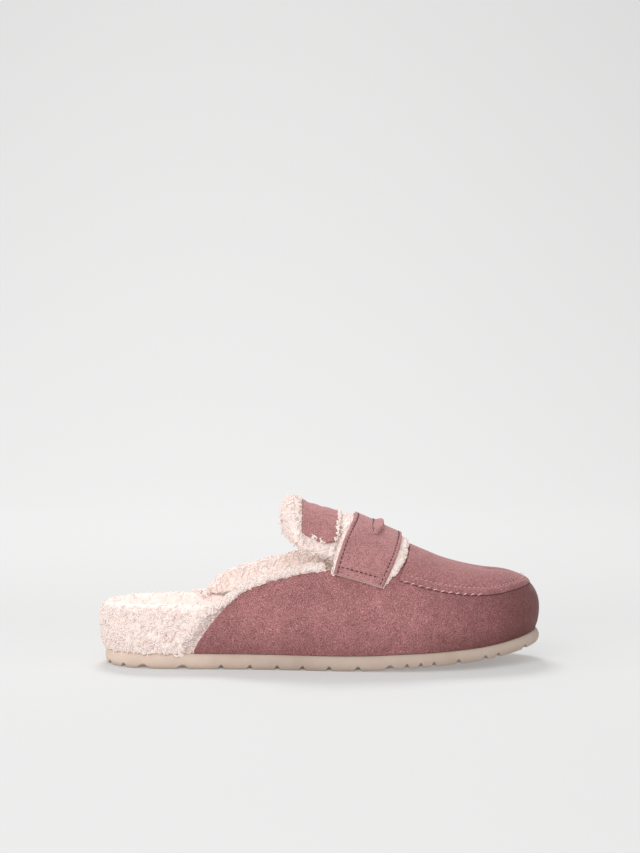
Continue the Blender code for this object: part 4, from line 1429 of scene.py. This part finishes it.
def make_tongue():
    columns = 44
    share = np.linspace(0, 1, 56)
    rear, last = TONGUE_PATCH.column("along")[[0, -1]]
    at = np.linspace(rear, last, columns)
    climb, side, inward = tongue_places(at, TONGUE_PATCH, share)
    front = fleece_back(rise_at_climb(at[:, None], climb)) - TONGUE_PATCH_GAP / SOLE_LENGTH
    run = np.linspace(0, 1, columns)[:, None]
    spread = rear + (np.minimum(front, last) - rear) * run
    near = np.minimum(run, 1 - run) * (np.minimum(front, last) - rear) * SOLE_LENGTH
    zigzag = 0.0005 / SOLE_LENGTH * np.sin(np.arange(climb.shape[1]) * 2.1)
    spread = spread + np.where((run == 0) | (run == 1), zigzag[None, :], 0.0)
    base = tongue_lift(spread, climb) + LAYER_GAP + 0.0003
    face = base + TONGUE_LEATHER * (0.45 + 0.55 * ease(near / 0.0010)) + 0.00018 * np.sin(spread * 210 + inward * 9)
    inner = skin(spread, side, climb, base)
    return slab("tongue_patch", inner, skin(spread, side, climb, face), [suede_patch, suede_edge], 1)


suede_patch = suede_finish("suede_patch", clouds=0.5, colour=TONGUE_SUEDE_COLOUR)
tongue = make_tongue()
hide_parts("tongue")
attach(tongue, "root")


def rise_of(shoe):
    """Rise over the last of points, from 0 at the sole to 1 at the ridge, with their shares of the length."""
    along = shoe[:, 0] / SOLE_LENGTH
    foot = sole_top(along) + SEAM_GAP
    return along, (shoe[:, 2] - foot) / (crown_point(along)[:, 2] - foot)


def beside_patch(points, normals):
    """Along the patch's lateral and front edges, where the pile grows over it."""
    shoe = points - SHIFT
    along, rise = rise_of(shoe)
    end = TONGUE_PATCH.read("lateral", along)
    near = np.exp(-(((rise - end - 0.020) / 0.012) ** 2)) * (along > 0.452) * (along < 0.532) * (shoe[:, 1] < 0)
    edge = fleece_back(np.clip(rise, STRAP_END_RISE, 1.0)) - TONGUE_PATCH_GAP / SOLE_LENGTH
    front = 2.0 * np.exp(-(((along - edge + 0.001) / 0.0022) ** 2)) * (shoe[:, 1] < 0.010)
    return (near + front) * (normals[:, 2] > 0)


overgrowth = curl_locks(
    "patch_locks", tongue, 260, beside_patch, 33, size=0.0010, strand=0.00060, turns=(0.15, 0.40), lift=0.30
)
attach(overgrowth, "root")

# Strap fleece
# The saddle strap's own lining of short cream pile, trimmed close to the strap and showing along both its edges.
STRAP_FLEECE_PILE = 0.0028
STRAP_FLEECE_PRESSED = 0.0012
STRAP_FLEECE_END_RISE = 0.602


def saddle_rows(start, count):
    """Rise over the instep from the lateral end to the ridge and down to the medial end, with its side."""
    rise = 1 - (1 - start) * (np.linspace(1, 0, count)) ** 1.6
    side = np.concatenate((np.full(count, LATERAL), np.full(count - 1, MEDIAL)))
    return np.concatenate((rise, rise[-2::-1])), side


def saddle_grid(start, count, columns, edges, slant=STRAP_END_SLANT):
    """A band over the instep between two edges, read at each rise; its ends reach down in front by the slant.

    Gives shares of the length, sides, climbs, rises, distances in from the long edges, and shares of the width.
    """
    rise, side = saddle_rows(start, count)
    back, front = edges(rise)
    share = np.linspace(0, 1, columns)[:, None]
    along = back + (front - back) * share
    lowered = rise - slant * share * (1 - rise) / (1 - STRAP_END_RISE)
    edge = np.minimum(share, 1 - share) * (front - back) * SOLE_LENGTH
    return along, np.broadcast_to(side, along.shape), climb_at_rise(along, lowered), lowered, edge, share


def strap_fleece_pile(rise):
    full = ease((rise - STRAP_END_RISE) / 0.22)
    return STRAP_FLEECE_PRESSED + (STRAP_FLEECE_PILE - STRAP_FLEECE_PRESSED) * full


def strap_fleece_edges(rise):
    front_show = FLEECE_FRONT_SHOW * (0.10 + 0.90 * ease((rise - STRAP_END_RISE) / 0.28))
    return fleece_back(rise), STRAP.read("front", rise) + front_show / SOLE_LENGTH


def make_strap_fleece():
    along, side, climb, rise, edge, _ = saddle_grid(STRAP_FLEECE_END_RISE, 64, 44, strap_fleece_edges)
    face = LAYER_GAP + strap_fleece_pile(rise) * (0.35 + 0.65 * ease(edge / 0.0014))
    return slab("strap_pile", skin(along, side, climb, LAYER_GAP), skin(along, side, climb, face), [fleece])


def strap_shows(points, normals=None):
    """Where the pile stands out from under the strap."""
    along, rise = rise_of(points - SHIFT)
    rise = np.clip(rise, STRAP_END_RISE, 1.0)
    outside = (along < STRAP.read("back", rise) + 0.001) | (along > STRAP.read("front", rise) - 0.001)
    return np.where(outside, 1.0, 0.0)


strap_pile = make_strap_fleece()
puff(strap_pile, ((0.0030, 0.00030),), strap_shows)
curls = curl_locks(
    "strap_curls", strap_pile, 1300, strap_shows, 41, size=0.0011, strand=0.00042, turns=(0.2, 0.7), lift=0.45
)
for piece in (strap_pile, curls):
    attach(piece, "root")
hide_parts("strap_fleece")

# Saddle strap
# The suede band over the instep, lined with the fleece and sewn down on both sides: a narrow turned edge with dark
# stitches inside it runs along both long sides, and a row of stitches crosses it above each raw lower end.
STRAP_LEATHER = 0.0018
STRAP_EDGE_ROW_INSET = 0.0022
STRAP_END_ROW_INSET = 0.0046
STRAP_FAR_BELOW = 1.0
STRAP_SUEDE_COLOUR = (0.505, 0.238, 0.238)
RAW_EDGE_DEEP = (0.420, 0.250, 0.200)
RAW_EDGE_PALE = (0.760, 0.590, 0.500)


def strap_base(rise):
    return LAYER_GAP + strap_fleece_pile(rise) + LAYER_GAP


def strap_relief(edge, below):
    """Face of the strap over its back: edge is the distance in from its long side, below from its lower end."""
    face = STRAP_LEATHER * (0.35 + 0.65 * ease(edge / 0.0007))
    face = face + 0.00030 * np.exp(-(((edge - 0.0011) / 0.0007) ** 2))
    face = face - 0.00045 * np.exp(-(((edge - STRAP_EDGE_ROW_INSET) / 0.00045) ** 2))
    end_groove = 0.00045 * np.exp(-(((below - STRAP_END_ROW_INSET) / 0.00050) ** 2))
    face = face - end_groove * ease((edge - 0.0020) / 0.0010)
    return face + 0.00020 * np.exp(-(((below - 0.0062) / 0.0012) ** 2))


def strap_edges(rise):
    return STRAP.read("back", rise), STRAP.read("front", rise)


def make_strap():
    along, side, climb, rise, edge, _ = saddle_grid(STRAP_END_RISE, 110, 80, strap_edges)
    base = skin(along, side, climb, strap_base(rise))
    run = run_through(base, 1)
    wave = 0.00025 * ripple(base.reshape(-1, 3), 0.022, 51).reshape(edge.shape) * ease(edge / 0.004)
    out = strap_base(rise) + strap_relief(edge, np.minimum(run, run[:, -1:] - run)) + wave
    return slab("saddle_band", base, skin(along, side, climb, out), [suede_strap, suede_edge, strap_raw_edge], 1, 2)


def strap_line(from_edge, front):
    """A line along one long side of the strap, at its distance in from that side."""
    rise, side = saddle_rows(STRAP_END_RISE, 400)
    rear, fore = strap_edges(rise)
    share = from_edge / ((fore - rear) * SOLE_LENGTH)
    share = 1 - share if front else share
    place = rear + share * (fore - rear)
    lowered = rise - STRAP_END_SLANT * share * (1 - rise) / (1 - STRAP_END_RISE)
    out = strap_base(lowered) + strap_relief(from_edge, STRAP_FAR_BELOW)
    return surface_line(place, side, climb_at_rise(place, lowered), out + 0.0004)


def strap_row(side, above):
    """A line across the strap, at its distance above the raw lower end and clear of both long sides."""
    columns, half, clear = 160, 300, 14
    along, sides, climb, rise, _, share = saddle_grid(STRAP_END_RISE, half, columns, strap_edges)
    run = run_through(skin(along, sides, climb, strap_base(rise)), 1)
    chosen = np.array([np.interp(above, row[:half], at[:half]) for row, at in zip(run, rise)])
    back, front = strap_edges(chosen)
    place = (back + (front - back) * share[:, 0])[clear:-clear]
    chosen = chosen[clear:-clear]
    return surface_line(place, side, climb_at_rise(place, chosen), strap_base(chosen) + STRAP_LEATHER)


suede_strap = suede_finish("suede_strap", clouds=0.6, colour=STRAP_SUEDE_COLOUR)
strap_raw_edge = edge_finish("strap_raw_edge", RAW_EDGE_DEEP, RAW_EDGE_PALE)
strap = make_strap()
strap_threads = []
for name, line in (
    ("strap_edge_back", strap_line(STRAP_EDGE_ROW_INSET, False)),
    ("strap_edge_front", strap_line(STRAP_EDGE_ROW_INSET, True)),
    ("strap_end_lateral", strap_row(LATERAL, STRAP_END_ROW_INSET)),
    ("strap_end_medial", strap_row(MEDIAL, STRAP_END_ROW_INSET)),
):
    strap_threads.append(stitch_run(name, *line, 0.0028, 0.62, 0.00034, 0.0004, dark_thread_and_seam_shade))
for piece in [strap] + strap_threads:
    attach(piece, "root")
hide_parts("saddle_strap")

# Keeper
# A narrow fold of suede standing across the middle of the strap, sewn down along its rear side and open in front.
KEEPER_RISE = 0.0022
KEEPER_WIDTH = 0.0056
KEEPER_END_RISE = 0.925
KEEPER_ROW_RISE = 0.935
KEEPER_ROW_BEHIND = -0.10


def keeper_edges(rise):
    middle = (STRAP.read("back", rise) + STRAP.read("front", rise)) / 2
    reach = KEEPER_WIDTH / 2 / SOLE_LENGTH * (0.40 + 0.60 * ease((rise - KEEPER_END_RISE) / 0.05))
    return middle - reach, middle + reach


def make_keeper():
    along, side, climb, rise, _, share = saddle_grid(KEEPER_END_RISE, 50, 30, keeper_edges, 0.0)
    crest = ease(share / 0.66) * (1 - ease((share - 0.74) / 0.26) * 0.90) + 0.06
    base = strap_base(rise) + STRAP_LEATHER + LAYER_GAP * 0.4
    face = base + KEEPER_RISE * crest * (0.15 + 0.85 * ease((rise - KEEPER_END_RISE) / 0.045))
    return slab("strap_keeper", skin(along, side, climb, base), skin(along, side, climb, face), [suede_keeper])


def keeper_line(share):
    rise, side = saddle_rows(KEEPER_ROW_RISE, 200)
    back, front = keeper_edges(rise)
    place = back + (front - back) * share
    return surface_line(place, side, climb_at_rise(place, rise), strap_base(rise) + STRAP_LEATHER + 0.0002)


suede_keeper = suede_finish("suede_keeper", clouds=0.4, colour=STRAP_SUEDE_COLOUR)
keeper = make_keeper()
keeper_row = keeper_line(KEEPER_ROW_BEHIND)
keeper_thread = stitch_run("keeper_stitches", *keeper_row, 0.0022, 0.66, 0.00030, 0.0002, dark_thread_and_seam_shade)
for piece in (keeper, keeper_thread):
    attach(piece, "root")
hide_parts("keeper")

# Studio
# A pale seamless sweep under the shoe, lit from above and a little from behind and the left, so that the soft
# shadow lies close under the near side of the sole and the toe's front is the darkest part of the suede, which
# painted shade in the suede's colour darkens further.
FLOOR_NEAR = (0.470, 0.470, 0.470)
FLOOR_FAR = (0.420, 0.420, 0.420)
FLOOR_GLOW = 0.262
SKY_STRENGTH = 0.65
CAMERA_DISTANCE = 1.80
CAMERA_ELEVATION = math.radians(8.4)
IMAGE_WIDTH = 640
IMAGE_HEIGHT = 853
MM_PER_PIXEL = 0.5945
GROUND_ROW = 661.5
SENSOR = 36.0


def make_studio():
    floor_mesh = bpy.data.meshes.new("floor_sweep")
    width = 3.0
    profile = [(-2.2, 0.0), (0.9, 0.0)]
    for k in range(1, 13):
        angle = math.pi / 2 * k / 12
        profile.append((0.9 + 0.6 * math.sin(angle), 0.6 * (1 - math.cos(angle))))
    profile.append((1.5, 3.0))
    points = [(x, y, z) for y, z in profile for x in (-width, width)]
    faces = [(2 * i, 2 * i + 1, 2 * i + 3, 2 * i + 2) for i in range(len(profile) - 1)]
    floor_mesh.from_pydata(points, [], faces)
    made, nodes, surface, place = new_material("floor_paper")
    tone = nodes.ramp(nodes.span(nodes.axes(place)["Y"], -0.05, 0.18), (0.0, FLOOR_NEAR), (1.0, FLOOR_FAR))
    nodes.give(surface, Base_Color=tone, Roughness=0.9, Emission_Strength=FLOOR_GLOW)
    floor = new_object("floor_sweep", floor_mesh, [made])
    world = bpy.data.worlds.new("studio")
    world.use_nodes = True
    Nodes(world.node_tree).give(
        world.node_tree.nodes["Background"], Color=(1.0, 1.0, 1.0), Strength=SKY_STRENGTH
    )
    bpy.context.scene.world = world
    for name, place, size, power, colour in (
        ("key", (-0.16, 1.00, 1.28), 0.5, 13.6, (1.0, 0.998, 0.99)),
        ("fill", (-0.50, -1.60, 0.90), 1.4, 15.0, (1.0, 0.995, 0.985)),
    ):
        light = bpy.data.lights.new(name, "AREA")
        light.size = size
        light.energy = power
        light.color = colour
        lamp = bpy.data.objects.new(name, light)
        lamp.location = place
        lamp.rotation_euler = (Vector((0, 0, 0.03)) - Vector(place)).to_track_quat("-Z", "Y").to_euler()
        bpy.context.scene.collection.objects.link(lamp)
    bpy.context.scene.view_settings.view_transform = "Standard"


def make_camera():
    data = bpy.data.cameras.new("camera")
    data.sensor_fit = "HORIZONTAL"
    data.sensor_width = SENSOR
    camera = bpy.data.objects.new("camera", data)
    bpy.context.scene.collection.objects.link(camera)
    below_axis = math.atan((GROUND_ROW - IMAGE_HEIGHT / 2) * MM_PER_PIXEL / 1000 / CAMERA_DISTANCE)
    camera.location = (
        0.0,
        -CAMERA_DISTANCE * math.cos(CAMERA_ELEVATION),
        CAMERA_DISTANCE * math.sin(CAMERA_ELEVATION),
    )
    camera.rotation_euler = (math.pi / 2 - (CAMERA_ELEVATION - below_axis), 0.0, 0.0)
    depth = CAMERA_DISTANCE * math.cos(below_axis)
    data.lens = SENSOR * depth / (IMAGE_WIDTH * MM_PER_PIXEL / 1000)
    data.clip_start = 0.01
    bpy.context.scene.camera = camera


make_studio()
make_camera()
